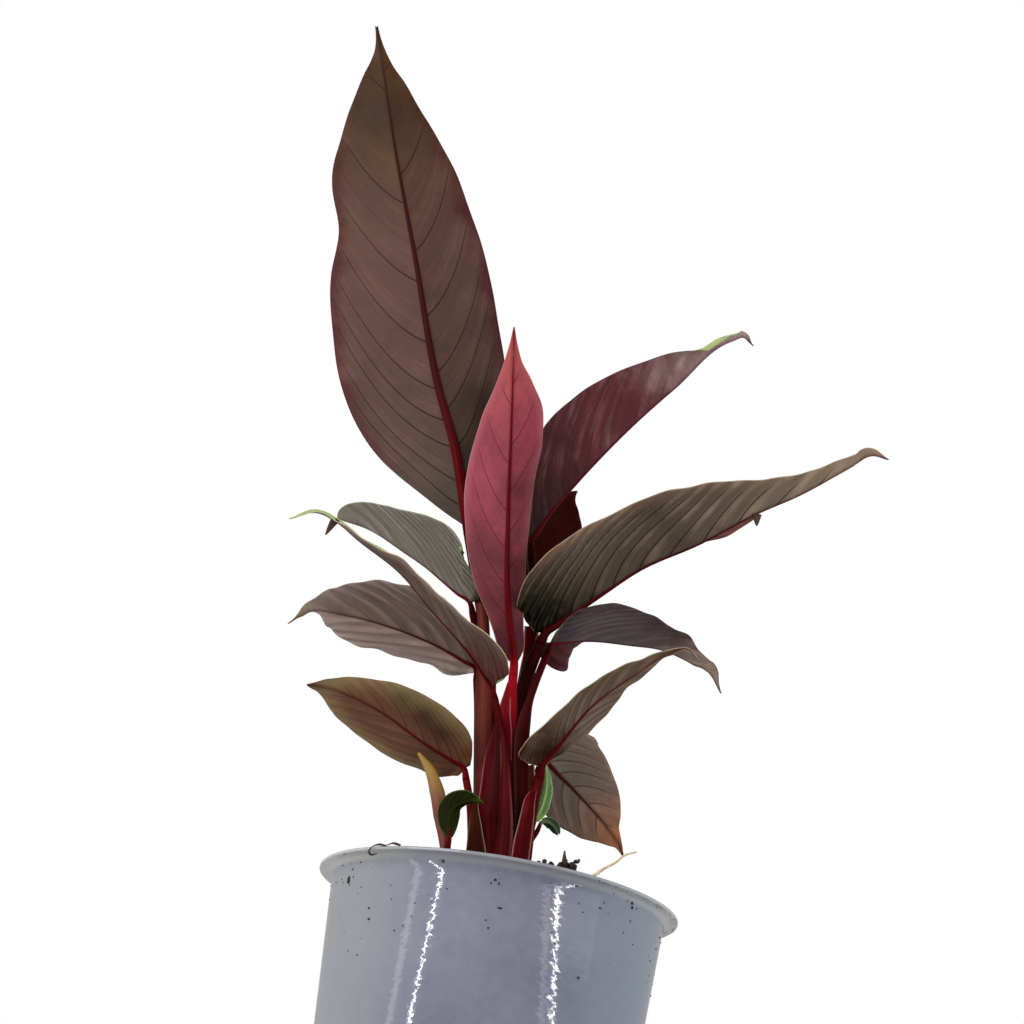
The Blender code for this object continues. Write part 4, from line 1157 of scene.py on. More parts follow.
def fleshy_stalk(name, tones, pale, roughness=0.34):
    """Fleshy stalk: wet-looking crimson skin with streaks along it and pale edges to its sheath.

    The mesh carries the angle round the stalk in turns, its length in millimetres, how close a
    point is to a sheath's edge, a tone from 0, dark, to 1, bright, and how strong the painted sheen
    is on the side that faces the light.
    """
    finish, tree = new_finish(name, {"Roughness": roughness, "Specular IOR Level": 0.03})
    place = add(tree, "TexCoord", out="Object")
    turns, along, lip, tone, painted_sheen = (
        add(tree, "Attribute", out="Fac", attribute_name=key)
        for key in ("turns", "along", "lip", "tone", "painted_sheen")
    )
    # Streaks about 0.7 mm wide and 30 mm long.
    lane = add(tree, "Math", {0: turns, 1: 26.0}, operation="MULTIPLY")
    run = add(tree, "Math", {0: along, 1: 0.035}, operation="MULTIPLY")
    spot = add(tree, "CombineXYZ", {"X": lane, "Y": run})
    streaks = add(tree, "TexNoise", {"Vector": spot, "Scale": 1.0, "Detail": 4.0, "Roughness": 0.65})
    cloud = add(tree, "TexNoise", {"Vector": place, "Scale": 80.0, "Detail": 3.0})
    grain = add(tree, "TexNoise", {"Vector": place, "Scale": 1500.0, "Detail": 2.0})
    # Streaks shift both the tone and the painted sheen.
    off = add(tree, "Math", {0: streaks, 1: 0.5}, operation="SUBTRACT")
    level = add(tree, "Math", {0: off, 1: 1.1, 2: tone}, operation="MULTIPLY_ADD")
    colour = tones[0]
    for least, tint in zip((0.0, 0.5), tones[1:]):
        part = add(tree, "MapRange", {"Value": level, "From Min": least, "From Max": least + 0.5})
        colour = add(tree, "Mix", {0: part, A: colour, B: tint}, **COLOURS)
    # A painted sheen: brown laid over the side of the stalk that faces the light.
    uneven = add(tree, "Math", {0: off, 1: 1.6, 2: 1.0}, operation="MULTIPLY_ADD")
    painted_sheen = add(tree, "Math", {0: painted_sheen, 1: uneven}, operation="MULTIPLY", use_clamp=True)
    colour = add(tree, "Mix", {0: painted_sheen, A: colour, B: paint(PAINTED_SHEEN)}, **COLOURS)
    shade = add(tree, "Math", {0: cloud, 1: 0.9, 2: 0.55}, operation="MULTIPLY_ADD")
    colour = add(tree, "HueSaturation", {"Color": colour, "Value": shade})
    colour = add(tree, "Mix", {0: lip, A: colour, B: paint(pale)}, **COLOURS)
    height = add(tree, "Math", {0: streaks, 1: 2.0, 2: grain}, operation="MULTIPLY_ADD")
    return dress(finish, colour, height, 0.4, 0.15)


def rolled_leaf():
    """A young leaf still rolled up: olive at the tip, pinkish brown lower down, waxy.

    The mesh carries the angle round it in turns, for fine lines, and its pale outer edge.
    """
    finish, tree = new_finish("rolled_young_leaf", {"Roughness": 0.45})
    place = add(tree, "TexCoord", out="Object")
    height = add(tree, "SeparateXYZ", {0: place}, out="Z")
    lip = add(tree, "Attribute", out="Fac", attribute_name="lip")
    turns = add(tree, "Attribute", out="Fac", attribute_name="turns")
    share = add(tree, "MapRange", {"Value": height, "From Min": 0.147, "From Max": 0.160})
    colour = add(tree, "Mix", {0: share, A: paint("#6e2c20"), B: paint("#927028")}, **COLOURS)
    colour = add(tree, "Mix", {0: lip, A: colour, B: paint("#c8a86a")}, **COLOURS)
    lane = add(tree, "Math", {0: turns, 1: 120.0}, operation="MULTIPLY")
    lane = add(tree, "Math", {0: lane}, operation="SINE")
    shade = add(tree, "Math", {0: lane, 1: 0.06, 2: 1.0}, operation="MULTIPLY_ADD")
    return dress(finish, add(tree, "HueSaturation", {"Color": colour, "Value": shade}))


def splashed(tree, place, height, mottle, tone):
    """A tone with splashes of dried soil: sparse spots up to 3, 2 and 7 mm across.

    They are cells of a Voronoi pattern. Few cells hold a spot, and fewer and smaller ones lower down.
    """
    high = add(tree, "MapRange", {"Value": height, "From Min": 0.06, "From Max": 0.124, "To Min": 0.3})
    kinds = ((95.0, 0.13, 0.8, "#2a221c"), (230.0, 0.2, 0.86, "#3e342a"), (60.0, 0.2, 0.93, "#7a6a58"))
    for scale, most, floor, tint in kinds:
        cells = {"Vector": place, "Scale": scale, "Randomness": 1.0}
        spots = add(tree, "TexVoronoi", cells, out="Distance")
        pick = add(tree, "SeparateColor", {0: add(tree, "TexVoronoi", cells, out="Color")}, out="Red")
        wide = add(tree, "MapRange", {"Value": pick, "From Min": floor, "To Max": most})
        wide = add(tree, "Math", {0: wide, 1: high}, operation="MULTIPLY")
        ragged = add(tree, "Math", {0: mottle, 1: 0.1, 2: spots}, operation="MULTIPLY_ADD")
        ragged = add(tree, "Math", {0: ragged, 1: 0.05}, operation="SUBTRACT")
        dirt = add(tree, "Math", {0: ragged, 1: wide}, operation="LESS_THAN")
        tone = add(tree, "Mix", {0: dirt, A: tone, B: paint(tint)}, **COLOURS)
    return tone


def moulded_polypropylene():
    """Grey translucent polypropylene, injection moulded: milky, glossy, with soil dried onto it."""
    finish, tree = new_finish("moulded_polypropylene", {"Roughness": 0.06, "IOR": 1.49})
    place = add(tree, "TexCoord", out="Object")
    sideways, height = (add(tree, "SeparateXYZ", {0: place}, out=axis) for axis in ("X", "Z"))
    # Clouds 50 mm wide and mottles of 3 mm in the milky wall.
    cloud = add(tree, "TexNoise", {"Vector": place, "Scale": 20.0, "Detail": 4.0, "Roughness": 0.6})
    mottle = add(tree, "TexNoise", {"Vector": place, "Scale": 300.0, "Detail": 3.0})
    both = add(tree, "Math", {0: mottle, 1: 0.35, 2: cloud}, operation="MULTIPLY_ADD")
    both = add(tree, "MapRange", {"Value": both, "From Min": 0.4, "From Max": 0.95})
    tone = add(tree, "Mix", {0: both, A: paint("#65677a"), B: paint("#80828f")}, **COLOURS)
    # Painted reflection: the wall is painted lighter to the left and bluish to the right, its middle left
    # darker.
    painted_side_light = (
        (sideways, -0.015, -0.05, 0.0, 0.75, "#8c9092"),
        (sideways, 0.012, 0.05, 0.0, 0.6, "#8794a0"),
    )
    tone = tinted(tree, tone, painted_side_light)
    # Painted light: the flange, with no mix at its back, is painted lighter, for the light that comes
    # through it.
    lit = add(tree, "MapRange", {"Value": height, "From Min": 0.1205, "From Max": 0.1225}, **SMOOTH)
    # At the pot's sides, where the flange stands clear of the plant, it is painted lighter still.
    aside = add(tree, "Math", {0: sideways}, operation="ABSOLUTE")
    sockets = {"Value": aside, "From Min": 0.03, "From Max": 0.062, "To Min": 0.3, "To Max": 0.95}
    aside = add(tree, "MapRange", sockets)
    lit = add(tree, "Math", {0: lit, 1: aside}, operation="MULTIPLY")
    tone = add(tree, "Mix", {0: lit, A: tone, B: paint("#bcbcba")}, **COLOURS)
    tone = splashed(tree, place, height, mottle, tone)
    # Shallow ripples, 2.6 mm wide and 1.8 mm high, that break a long reflection into dashes.
    squeeze = add(tree, "Mapping", {"Vector": place, "Scale": (380.0, 380.0, 560.0)})
    ripple = add(tree, "TexNoise", {"Vector": squeeze, "Scale": 1.0, "Detail": 1.0, "Roughness": 0.4})
    return dress(finish, tone, ripple, 0.35, 0.1)


def potting_mix(name, dark, light):
    """Moist peat and composted bark: near black crumbs of 2 mm with browner fibres."""
    finish, tree = new_finish(name, {"Roughness": 0.85})
    place = add(tree, "TexCoord", out="Object")
    crumbs = add(tree, "TexNoise", {"Vector": place, "Scale": 420.0, "Detail": 6.0, "Roughness": 0.7})
    share = add(tree, "MapRange", {"Value": crumbs, "From Min": 0.35, "From Max": 0.7})
    colour = add(tree, "Mix", {0: share, A: paint(dark), B: paint(light)}, **COLOURS)
    return dress(finish, colour, crumbs, 0.8, 0.6)


# Leaves


def vein_number(share, places, length):
    """A number that grows by one from each side vein to the next, and the millimetres between them.

    It is read off the straight stretches between the veins' places, which go on past both ends by
    a dozen gaps as wide as the first and the last.
    """
    far = 12
    places = np.array(places)
    start = places[0] - far * (places[1] - places[0])
    end = places[-1] + far * (places[-1] - places[-2])
    knots = np.concatenate([[start], places, [end]])
    numbers = np.concatenate([[-far], np.arange(len(places)), [len(places) - 1 + far]])
    number = np.interp(share, knots, numbers)
    slope = np.gradient(knots, numbers)
    return number, np.interp(number, numbers, slope) * length


def sums_at(steps, at):
    """Running sums of the steps of each row, read at places that count the steps."""
    run = np.concatenate([np.zeros_like(steps[:, :1]), np.cumsum(steps, axis=1)], axis=1)
    low = np.minimum(at.astype(int), STEPS - 1)
    rest = (at - low).reshape(1, -1, *[1] * (steps.ndim - 2))
    return run[:, low] * (1 - rest) + run[:, low + 1] * rest


def leaf_half(leaf, hand, share, length, spine, columns):
    """One half of a blade, from the rib to its margin: points and values per point.

    From each point of the rib a row runs out. Its angle to the rib's normal starts at the leaf's
    sweep and grows by its bend, and a curl raises it; summing short steps along it gives the
    surface. On the flat leaf a side vein that leaves the rib at s passes y away from it at
    s + a y + b y^2 / w, where w lies between the row's width and the widest, and a grows towards
    the tip.
    """
    rib, tangent, side, up = spine
    right = hand > 0
    widths, veins = (leaf.right, leaf.veins_right) if right else (leaf.left, leaf.veins_left)
    width = np.maximum(smooth_values(widths, share), 0.2)
    middle = (np.arange(STEPS) + 0.5) / STEPS
    raised = np.full((len(share), STEPS), math.radians(leaf.fold[int(right)]))
    for curl_hand, centre, reach, degrees, power in leaf.curls:
        if curl_hand == hand:
            window = np.exp(-(((share - centre) / reach) ** 2))
            raised += math.radians(degrees) * window[:, None] * middle**power
    start = np.radians(leaf.sweep[0] + (leaf.sweep[1] - leaf.sweep[0]) * share)
    ahead = start[:, None] + math.radians(leaf.bend) * middle
    out = np.cos(raised)[..., None] * hand * side[:, None] + np.sin(raised)[..., None] * up[:, None]
    step = np.cos(ahead)[..., None] * out + np.sin(ahead)[..., None] * tangent[:, None]
    piece = (width / STEPS)[:, None]
    at = np.linspace(0, 1, columns + 1) ** 1.2 * STEPS
    forward = sums_at(np.sin(ahead) * piece, at)
    lateral = sums_at(np.cos(ahead) * piece, at)
    room = (0.3 * width.max() + 0.7 * width)[:, None]
    rising = leaf.lean[0] * (1 + 1.8 * share[:, None] ** 2)
    leaves_rib = share[:, None] * length + forward - rising * lateral - leaf.lean[1] * lateral**2 / room
    number, gap = vein_number(leaves_rib / length, veins, length)
    out_share = at[None] / STEPS
    # Rows and veins run aslant, so the margin is nearer than a row's end and the veins are closer
    # together than along the rib.
    return {
        "points": rib[:, None] + sums_at(step * piece[..., None], at),
        "across": lateral,
        "edge": (1 - out_share) * width[:, None] * 0.85,
        "share": np.broadcast_to(share[:, None], lateral.shape),
        "vein": number,
        "gap": gap * 0.6,
        "half": 0.5 + 0.5 * hand * step_up(lateral, 0.0, 0.8),
        "out_share": np.broadcast_to(out_share, lateral.shape),
        "hand": np.full(lateral.shape, float(hand)),
    }


def leaf_sheet(leaf, rows, columns):
    """The blade's middle surface, rows along the rib by columns from the left margin to the right.

    Between veins the blade bulges by the pleat, as the square of a sine, and the margin waves by
    two sines of the share of the length. The values for the materials come with it.
    """
    path = smooth_path(rib_points(leaf), 600)
    length = run_of(path)[-1]
    share = np.linspace(0, 1, rows) ** 0.95
    along = NECK / length + (1 - NECK / length) * share
    spine = [resample(part, along) for part in (path, *frames_along(path, leaf.faces))]
    left, right = (leaf_half(leaf, hand, share, length, spine, columns) for hand in (-1, 1))
    whole = {key: np.concatenate([left[key][:, ::-1], right[key][:, 1:]], axis=1) for key in left}
    grid, out_share, hands = (whole.pop(key) for key in ("points", "out_share", "hand"))
    # Painted pools of light and painted shadows: soft spots that brighten or darken the blade, each at
    # its place on one half.
    whole["painted_light_spot"] = np.ones(grid.shape[:2])
    for hand, at_share, at_row, reach, bright in leaf.look.painted_light_spots:
        off = np.abs(whole["share"] - at_share) + np.abs(out_share - at_row)
        off = np.where(hands == hand, off, np.inf)
        middle = grid[np.unravel_index(off.argmin(), off.shape)]
        distance = np.linalg.norm(grid - middle, axis=2)
        whole["painted_light_spot"] *= 1 + (bright - 1) * np.exp(-((distance / reach) ** 2))
    normals = unit(np.cross(np.gradient(grid, axis=1), np.gradient(grid, axis=0)))
    bulge = np.sin(np.pi * whole["vein"]) ** 2 * step_up(whole["across"], 0.5, 6)
    bulge *= step_up(whole["edge"], 0.0, 4.0) * leaf.pleat
    phase = 2 * np.pi * leaf.waves * whole["share"] + hands * (0.9 + leaf.radius)
    sway = 0.6 * np.sin(phase) + 0.4 * np.sin(1.73 * phase + 2.0)
    sway *= leaf.wave * out_share**3 * step_up(1 - whole["share"], 0, 0.15)
    sway *= step_up(whole["share"], 0, 0.1)
    return grid + normals * (bulge + sway)[..., None], whole


def neck_radius(leaf):
    """Radius of the midrib's neck, where its stalk ends."""
    return leaf.radius + RIB_END_RADIUS


def rib_shell(leaf, sides=16):
    """The midrib: rounded beneath, nearly flush above, tapering to the tip; a carried profile.

    Its radius is a part that tapers to the tip, and a part that dies away past the foot.
    """
    knots = rib_points(leaf)
    length = run_of(knots)[-1]
    rings = max(16, int(length / 1.3))
    path = smooth_path(knots, rings)
    _, _, up = frames_along(path, leaf.faces)
    share = np.linspace(0, 1, rings)
    lasting = leaf.rib_share * leaf.radius + 0.15
    fading = neck_radius(leaf) - RIB_TIP_RADIUS - lasting
    radii = RIB_TIP_RADIUS + lasting * (1 - share) ** RIB_TAPER
    radii += fading * np.exp(-share * length / RIB_FADE)
    profile = round_profile(radii, sides)
    # Above the blade the ring is pressed flat once the neck is past.
    sunk = np.minimum(share * length / (2 * NECK), 1)[:, None]
    lift = profile[..., 1]
    profile[..., 1] = np.where(lift > 0, lift * (1 - 0.75 * sunk), lift * (1 + 0.15 * sunk))
    points, faces = carried(path, profile, up, first=unit(knots[1] - knots[0]))
    turns = np.tile(np.arange(sides) / sides, rings)
    return points, faces, turns, np.repeat(share * length, sides)


def tooth_shell(foot, tip, radius, rings=8, sides=8):
    """A dried tooth: a flattened ring that shrinks as the 0.7th power of what is left to the tip."""
    left = np.linspace(1, 0.05, rings)
    path = np.array(tip) + left[:, None] * (np.array(foot) - tip)
    profile = round_profile(radius * left**0.7, sides) * (1.0, 0.4)
    return carried(path, profile, (0.0, -1.0, 0.0))


def make_leaf(name, leaf, sizes, colours, extra=None):
    """A blade, its midrib and its dried teeth as one piece, to which extra adds what else it has.

    The blade is thinnest at its margin. Going away from the foot the midrib turns brighter, and
    then takes on its own colour.
    """
    look = leaf.look
    length = run_of(np.array(leaf.rib, float))[-1]
    widest = max(width for _, width in leaf.left + leaf.right)
    rows = int(np.clip(length / sizes.grid, *GRID_ROWS))
    columns = int(np.clip(widest / sizes.grid, *GRID_COLUMNS))
    grid, values = leaf_sheet(leaf, rows, columns)
    thin = 0.35 + 0.65 * step_up(values["edge"], 0, 3)
    points, faces, sides = sheet_shell(grid, sizes.blade_thickness / MM * thin)
    below = leaf_underside(f"{name}_underside", look)
    above = below if look.both_sides else bpy.data.materials.get("leaf_upper_green") or leaf_upper()
    finishes = [above, below, fleshy_stalk(f"{name}_midrib", stalk_tones(colours), look.rib)]
    shell = Shell()
    per_point = {key: np.tile(value.ravel(), 2) for key, value in values.items()}
    edge_faces = 2 * (grid.shape[0] + grid.shape[1]) - 4
    shell.add(points, faces, finish=sides, flat=edge_faces, **per_point)
    rib, rib_faces, turns, along = rib_shell(leaf)
    tone = 0.55 + (leaf.tone - 0.55) * (1 - step_up(along, 0.0, 12.0))
    lip = 0.92 * step_up(along, 2.0, 0.36 * along.max())
    shell.add(rib, rib_faces, finish=2, turns=turns, along=along, tone=tone, lip=lip)
    for foot, tip, radius in leaf.teeth:
        shell.add(*tooth_shell(foot, tip, radius), finish=len(finishes))
    if leaf.teeth:
        finishes.append(potting_mix(f"{name}_dried_tooth", "#120a06", "#5c4028"))
    if extra:
        extra(shell)
    shell.piece(f"{name}_blade", finishes, name)


# Stalks


def petiole_path(leaf):
    """Points from inside the crown up to the neck, just short of the foot of a leaf's rib."""
    neck, blade_foot, *_ = rib_points(leaf)
    x, y = leaf.root
    knots = [(x, y, CROWN_TOP - 12), (x, y, CROWN_TOP + 2), *leaf.way, neck, blade_foot]
    length = run_of(np.array(knots, float))[-1]
    path = smooth_path(knots, max(12, int(length / 1.5)))
    beyond = (path - neck) @ unit(blade_foot - neck) > 0.6
    near = np.linalg.norm(path - neck, axis=1) < 2 * NECK
    path = path[~(beyond & near)]
    return path, run_of(path)[-1]


def carry_up(tangent, last_up):
    """Upward directions along a path, turned as little as can be, that end at the given one."""
    up = np.empty_like(tangent)
    current = np.asarray(last_up, float)
    for k in range(len(tangent) - 1, -1, -1):
        current = current - (current @ tangent[k]) * tangent[k]
        current = current / np.linalg.norm(current)
        up[k] = current
    return up


def petiole_shell(leaf, sides=28):
    """A stalk: a ring with a shallow groove on its upper side, its shoulders raised low down.

    The radius of the ring is the stalk's radius, less 0.16 of it in the groove, plus up to 0.22
    of it on the two shoulders, each a bell curve of the angle from the groove's middle. The
    stalk is thick in its sheath and slim above it.
    """
    path, length = petiole_path(leaf)
    tangent = unit(np.gradient(path, axis=0))
    _, _, rib_up = frames_along(smooth_path(rib_points(leaf), 30), leaf.faces)
    up = carry_up(tangent, rib_up[0])
    share = np.linspace(0, 1, len(path))
    slim = neck_radius(leaf) * 0.985
    radii = slim + (leaf.stalk_radius - slim) * step_up(1 - share, *leaf.flare)
    turn = circle(sides)
    off = np.angle(np.exp(1j * (turn - np.pi / 2)))
    low = step_up(1 - share, 0.15, 0.6)[:, None]
    groove = 0.16 * np.exp(-((off / 0.45) ** 2))[None] * step_up(1 - share, 0.02, 0.3)[:, None]
    shoulders = np.exp(-(((np.abs(off) - 0.85) / 0.22) ** 2))
    scale = 1 - groove + 0.22 * low * shoulders[None]
    points, faces = carried(path, round_profile(radii[:, None] * scale, sides), up)
    lip = np.clip(low * (shoulders[None] - 0.8) * 1.5, 0, 0.3).ravel()
    turns = np.tile(turn / (2 * np.pi), len(path))
    # Painted shade darkens the foot, where the stalks shade each other; a painted sheen browns the side
    # that faces the light.
    tone = np.repeat(leaf.tone * (0.65 + 0.35 * share), sides)
    outward = unit(points.reshape(len(path), sides, 3) - path[:, None])
    painted_sheen = leaf.painted_sheen * np.clip(outward @ unit(np.array(SHEEN_SIDE)), 0, 1) ** 3
    painted_sheen = (painted_sheen * step_up(1 - share, 0.02, 0.2)[:, None]).ravel()
    along = np.repeat(share * length, sides)
    return points, faces, {"turns": turns, "along": along, "lip": lip, "tone": tone, "painted_sheen": painted_sheen}


def sheath_shell(left, right, bulge, tone, rows=60, columns=14):
    """A sheath's thin wall between two edges, bulging outwards between them.

    At u from -1 to 1 across, a point is the middle of the two edges, plus u times half their
    difference, plus bulge (1 - u^2) away from the crown's axis. Its tone, which paints light and
    shade from edge to edge, and the pale line on its edges, go with it.
    """
    edges = smooth_path(left, rows), smooth_path(right, rows)
    across = np.linspace(-1, 1, columns)[None, :, None]
    middle, half = (edges[0] + edges[1])[:, None] / 2, (edges[1] - edges[0])[:, None] / 2
    away = middle[:, 0, :2] - np.array(CROWN_CENTRE)
    away = unit(np.column_stack([away, np.zeros(rows)]))[:, None]
    grid = middle + across * half + bulge * (1 - across**2) * away
    points, faces, _ = sheet_shell(grid, np.full((rows, columns), SHEATH_WALL))
    from_left = run_of(grid[rows // 2])
    off = np.minimum(from_left, from_left[-1] - from_left)
    lip = np.broadcast_to(0.85 * (1 - step_up(off, 0.1, 0.5)), (rows, columns))
    wide = np.broadcast_to(across[..., 0] / 6, (rows, columns))
    along = np.broadcast_to(run_of(edges[0])[:, None], (rows, columns))
    # Painted light and shade: the tone runs from one edge's value to the other's.
    shade = tone[0] + (tone[1] - tone[0]) * (1 + across[..., 0]) / 2
    shade = np.broadcast_to(shade, (rows, columns))
    values = {"lip": lip, "turns": wide, "along": along, "tone": shade}
    per_point = {key: np.tile(value.ravel(), 2) for key, value in values.items()}
    return points, faces, 2 * (rows + columns) - 4, per_point


def crown_shell(rings=16, sides=64):
    """The crown: a low dome whose height falls as the square of the radius, made lumpy by sines."""
    turn = circle(sides)
    share = np.linspace(0.02, 1, rings)[:, None]
    radius = CROWN_RADIUS * share * (1 + 0.03 * np.sin(5 * turn + 1))
    lumps = 0.5 * np.sin(7 * turn) * np.sin(9 * share)
    top = turned(radius, CROWN_TOP - 0.7 - 3.5 * share**2 + lumps * share, turn)
    foot = turned(radius[-1:], HOLE_FOOT + 1, turn)
    points = np.concatenate([top, foot]) + (*CROWN_CENTRE, 0.0)
    return points, tube_faces(rings + 1, sides)


def make_stem(colours):
    """The crown and the stalks that rise from it."""
    shell = Shell()
    shell.add(*crown_shell(), finish=1)
    for leaf in LEAVES.values():
        points, faces, values = petiole_shell(leaf)
        shell.add(points, faces, **values)
    for left, right, bulge, tone, finish in SHEATHS:
        points, faces, edge_faces, values = sheath_shell(left, right, bulge, tone)
        shell.add(points, faces, finish=finish, flat=edge_faces, **values)
    crimson = fleshy_stalk("crimson_stalk", stalk_tones(colours), "#c08a80")
    crown = potting_mix("crown_skin", "#2a100c", "#5a2620")
    dry = [paint(tint) for tint in ("#1c0a07", "#44190f", "#74382a")]
    withered = fleshy_stalk("withered_sheath", dry, "#b89a80", roughness=0.7)
    shell.piece("stem_stalks", [crimson, crown, withered], "stem")


# Small growth


def upright_shell(root, way, radii, sides, turn_per_mm=0.0, step=0.0):
    """A stalk from the mix up its way; step raises one edge that winds round it as it rises."""
    knots = np.array([(*root, z) for z in UPRIGHT] + list(way), float)
    run = run_of(knots)
    path = smooth_path(knots, max(20, int(run[-1] / 0.8)))
    along = np.linspace(0, run[-1], len(path))
    turn = circle(sides)
    winding = np.mod(turn / (2 * np.pi) + along[:, None] * turn_per_mm, 1)
    radii = np.interp(along, run, radii)[:, None] * (1 + step * (winding - 0.5))
    points, faces = carried(path, round_profile(radii, sides), (0.0, 1.0, 0.0))
    lip = np.clip((winding - 0.9) * 8, 0, 0.7) if step else np.zeros_like(winding)
    turns = np.tile(turn / (2 * np.pi), len(path))
    return points, faces, {"turns": turns, "along": np.repeat(along, sides), "lip": lip.ravel()}


def make_small_growth(sizes, colours):
    """The small green leaf on its stalk, the rolled young leaf and the loose pale root."""

    def stand(shell):
        points, faces, values = upright_shell(*SMALL_STALK, sides=16)
        shell.add(points, faces, finish=2, tone=0.5, **values)

    make_leaf("leaf_small_green", LEAF_SMALL_GREEN, sizes, colours, extra=stand)
    shell = Shell()
    points, faces, values = upright_shell(*BUD, sides=32, turn_per_mm=0.012, step=0.22)
    shell.add(points, faces, **values)
    shell.piece("young_leaf_rolled", [rolled_leaf()], "bud_rolled")
    shell = Shell()
    points, faces, values = upright_shell(*LOOSE_ROOT, sides=12)
    shell.add(points, faces, **values)
    shell.piece("loose_root", [potting_mix("pale_root", "#b8a074", "#efe2bd")], "root_pale")


# Pot and potting mix


def wall_radius(z):
    """Radius of the pot's outside at a height."""
    return POT_BASE_RADIUS + (POT_TOP_RADIUS - POT_BASE_RADIUS) * z / POT_HEIGHT


def make_pot():
    """A thin tapered shell with a flat flange: a closed profile turned about Z, drained below."""
    top, lip, mouth = POT_HEIGHT, POT_HEIGHT - POT_LIP, wall_radius(POT_HEIGHT)
    profile = [
        # The inside, from the middle of the floor up the wall.
        (0.5, POT_FLOOR),
        (wall_radius(POT_FLOOR) - POT_WALL - 2.0, POT_FLOOR),
        (wall_radius(3) - POT_WALL - 0.7, 2.7),
        *[(wall_radius(z) - POT_WALL, z) for z in np.linspace(5, 122, 24)],
        # The mouth, rounded out onto the flange, and the flange's rounded edge.
        (mouth - POT_WALL + 0.1, top - 0.9),
        (mouth - POT_WALL + 0.4, top - 0.3),
        (mouth - POT_WALL + 1.1, top),
        (POT_RIM_RADIUS - 1.5, top),
        (POT_RIM_RADIUS - 0.35, top - 0.05),
        (POT_RIM_RADIUS, top - 0.4),
        (POT_RIM_RADIUS, lip + 0.3),
        (POT_RIM_RADIUS - 0.35, lip + 0.02),
        # Under the flange, and the fillet to the wall.
        (POT_RIM_RADIUS - 1.2, lip + 0.05),
        (mouth + 2.0, lip + 0.05),
        (mouth + 1.4, lip - 0.05),
        (mouth + 0.85, lip - 0.3),
        (wall_radius(lip - 0.8) + 0.4, lip - 0.75),
        (wall_radius(lip - 1.4) + 0.12, lip - 1.4),
        (wall_radius(lip - 2.2), lip - 2.2),
        # The outside, down to the rounded foot.
        *[(wall_radius(z), z) for z in np.linspace(118, 3, 24)],
        (POT_BASE_RADIUS - 0.2, 1.6),
        (POT_BASE_RADIUS - 0.9, 0.6),
        (POT_BASE_RADIUS - 2.0, 0.1),
        (POT_BASE_RADIUS - 3.0, 0),
        (0.5, 0),
    ]
    sides = 160
    radius, height = np.array(profile, float).T[..., None]
    shell = Shell()
    shell.add(turned(radius, height, circle(sides)), tube_faces(len(profile), sides))
    pot = shell.piece("nursery_pot", [moulded_polypropylene()], "pot")
    cut_drains(pot)
    pot.data.set_sharp_from_angle(angle=math.radians(40))


def cut_drains(pot, sides=32):
    """Cuts the round holes in the pot's base in one step."""
    group = bpy.data.collections.new("drains")
    hole = turned(DRAIN_RADIUS, np.array([[-1.0], [POT_FLOOR + 1]]), circle(sides)).reshape(-1, 3)
    for k in range(DRAIN_COUNT):
        middle = turned(DRAIN_RING_RADIUS, 0.0, 2 * math.pi * (k + 0.5) / DRAIN_COUNT)
        mesh = mesh_of(f"drain_{k}", hole + middle, tube_faces(2, sides))
        group.objects.link(bpy.data.objects.new(f"drain_{k}", mesh))
    cut = pot.modifiers.new("Drains", "BOOLEAN")
    cut.operation = "DIFFERENCE"
    cut.operand_type = "COLLECTION"
    cut.collection = group
    cut.solver = "EXACT"
    bpy.context.scene.collection.children.link(group)
    bpy.context.view_layer.update()
    baked = bpy.data.meshes.new_from_object(pot.evaluated_get(bpy.context.evaluated_depsgraph_get()))
    pot.modifiers.clear()
    pot.data = baked
    for cutter in list(group.objects):
        bpy.data.objects.remove(cutter)
    bpy.data.collections.remove(group)


def soil_shell(rng, rings=70, sides=200):
    """The mix: a disc whose height is a sum of random sines, then its wall and its foot."""
    inner = wall_radius(SOIL_LEVEL) - POT_WALL - 0.3
    share = np.linspace(0.01, 1, rings)[:, None]
    turn = circle(sides)
    x, y = inner * share * np.cos(turn), inner * share * np.sin(turn)
    height = np.full(x.shape, SOIL_LEVEL - 0.8)
    for _ in range(60):
        kx, ky = rng.normal(0, 0.5, 2)
        wave = np.sin(kx * x + ky * y + rng.uniform(0, 2 * np.pi))
        height += 0.16 * wave * step_up(1 - share, 0, 0.05)
    wall = wall_radius(5.0) - POT_WALL - 0.3
    below = turned(np.array([[wall], [wall - 2.6]]), np.array([[5.0], [POT_FLOOR + 0.3]]), turn)
    points = np.concatenate([np.stack([x, y, height], axis=-1), below])
    return points, tube_faces(rings + 2, sides)


@functools.lru_cache
def ball(subdivisions):
    """Points and triangles of a ball of radius 1: 12 points for 1 subdivision, 42 for 2."""
    work = bmesh.new()
    bmesh.ops.create_icosphere(work, subdivisions=subdivisions, radius=1.0)
    points = np.array([vertex.co[:] for vertex in work.verts])
    faces = np.array([[vertex.index for vertex in face.verts] for face in work.faces])
    work.free()
    return points, faces


def lump(rng, middle, half, turn, subdivisions=1):
    """A rough chip: a ball pushed in at random, stretched to its half lengths and turned about Z."""
    points, faces = ball(subdivisions)
    points = points * rng.uniform(0.6, 1.0, (len(points), 1)) * np.array(half)
    c, s = math.cos(turn), math.sin(turn)
    return points @ np.array(((c, s, 0), (-s, c, 0), (0, 0, 1))) + np.array(middle), [faces]


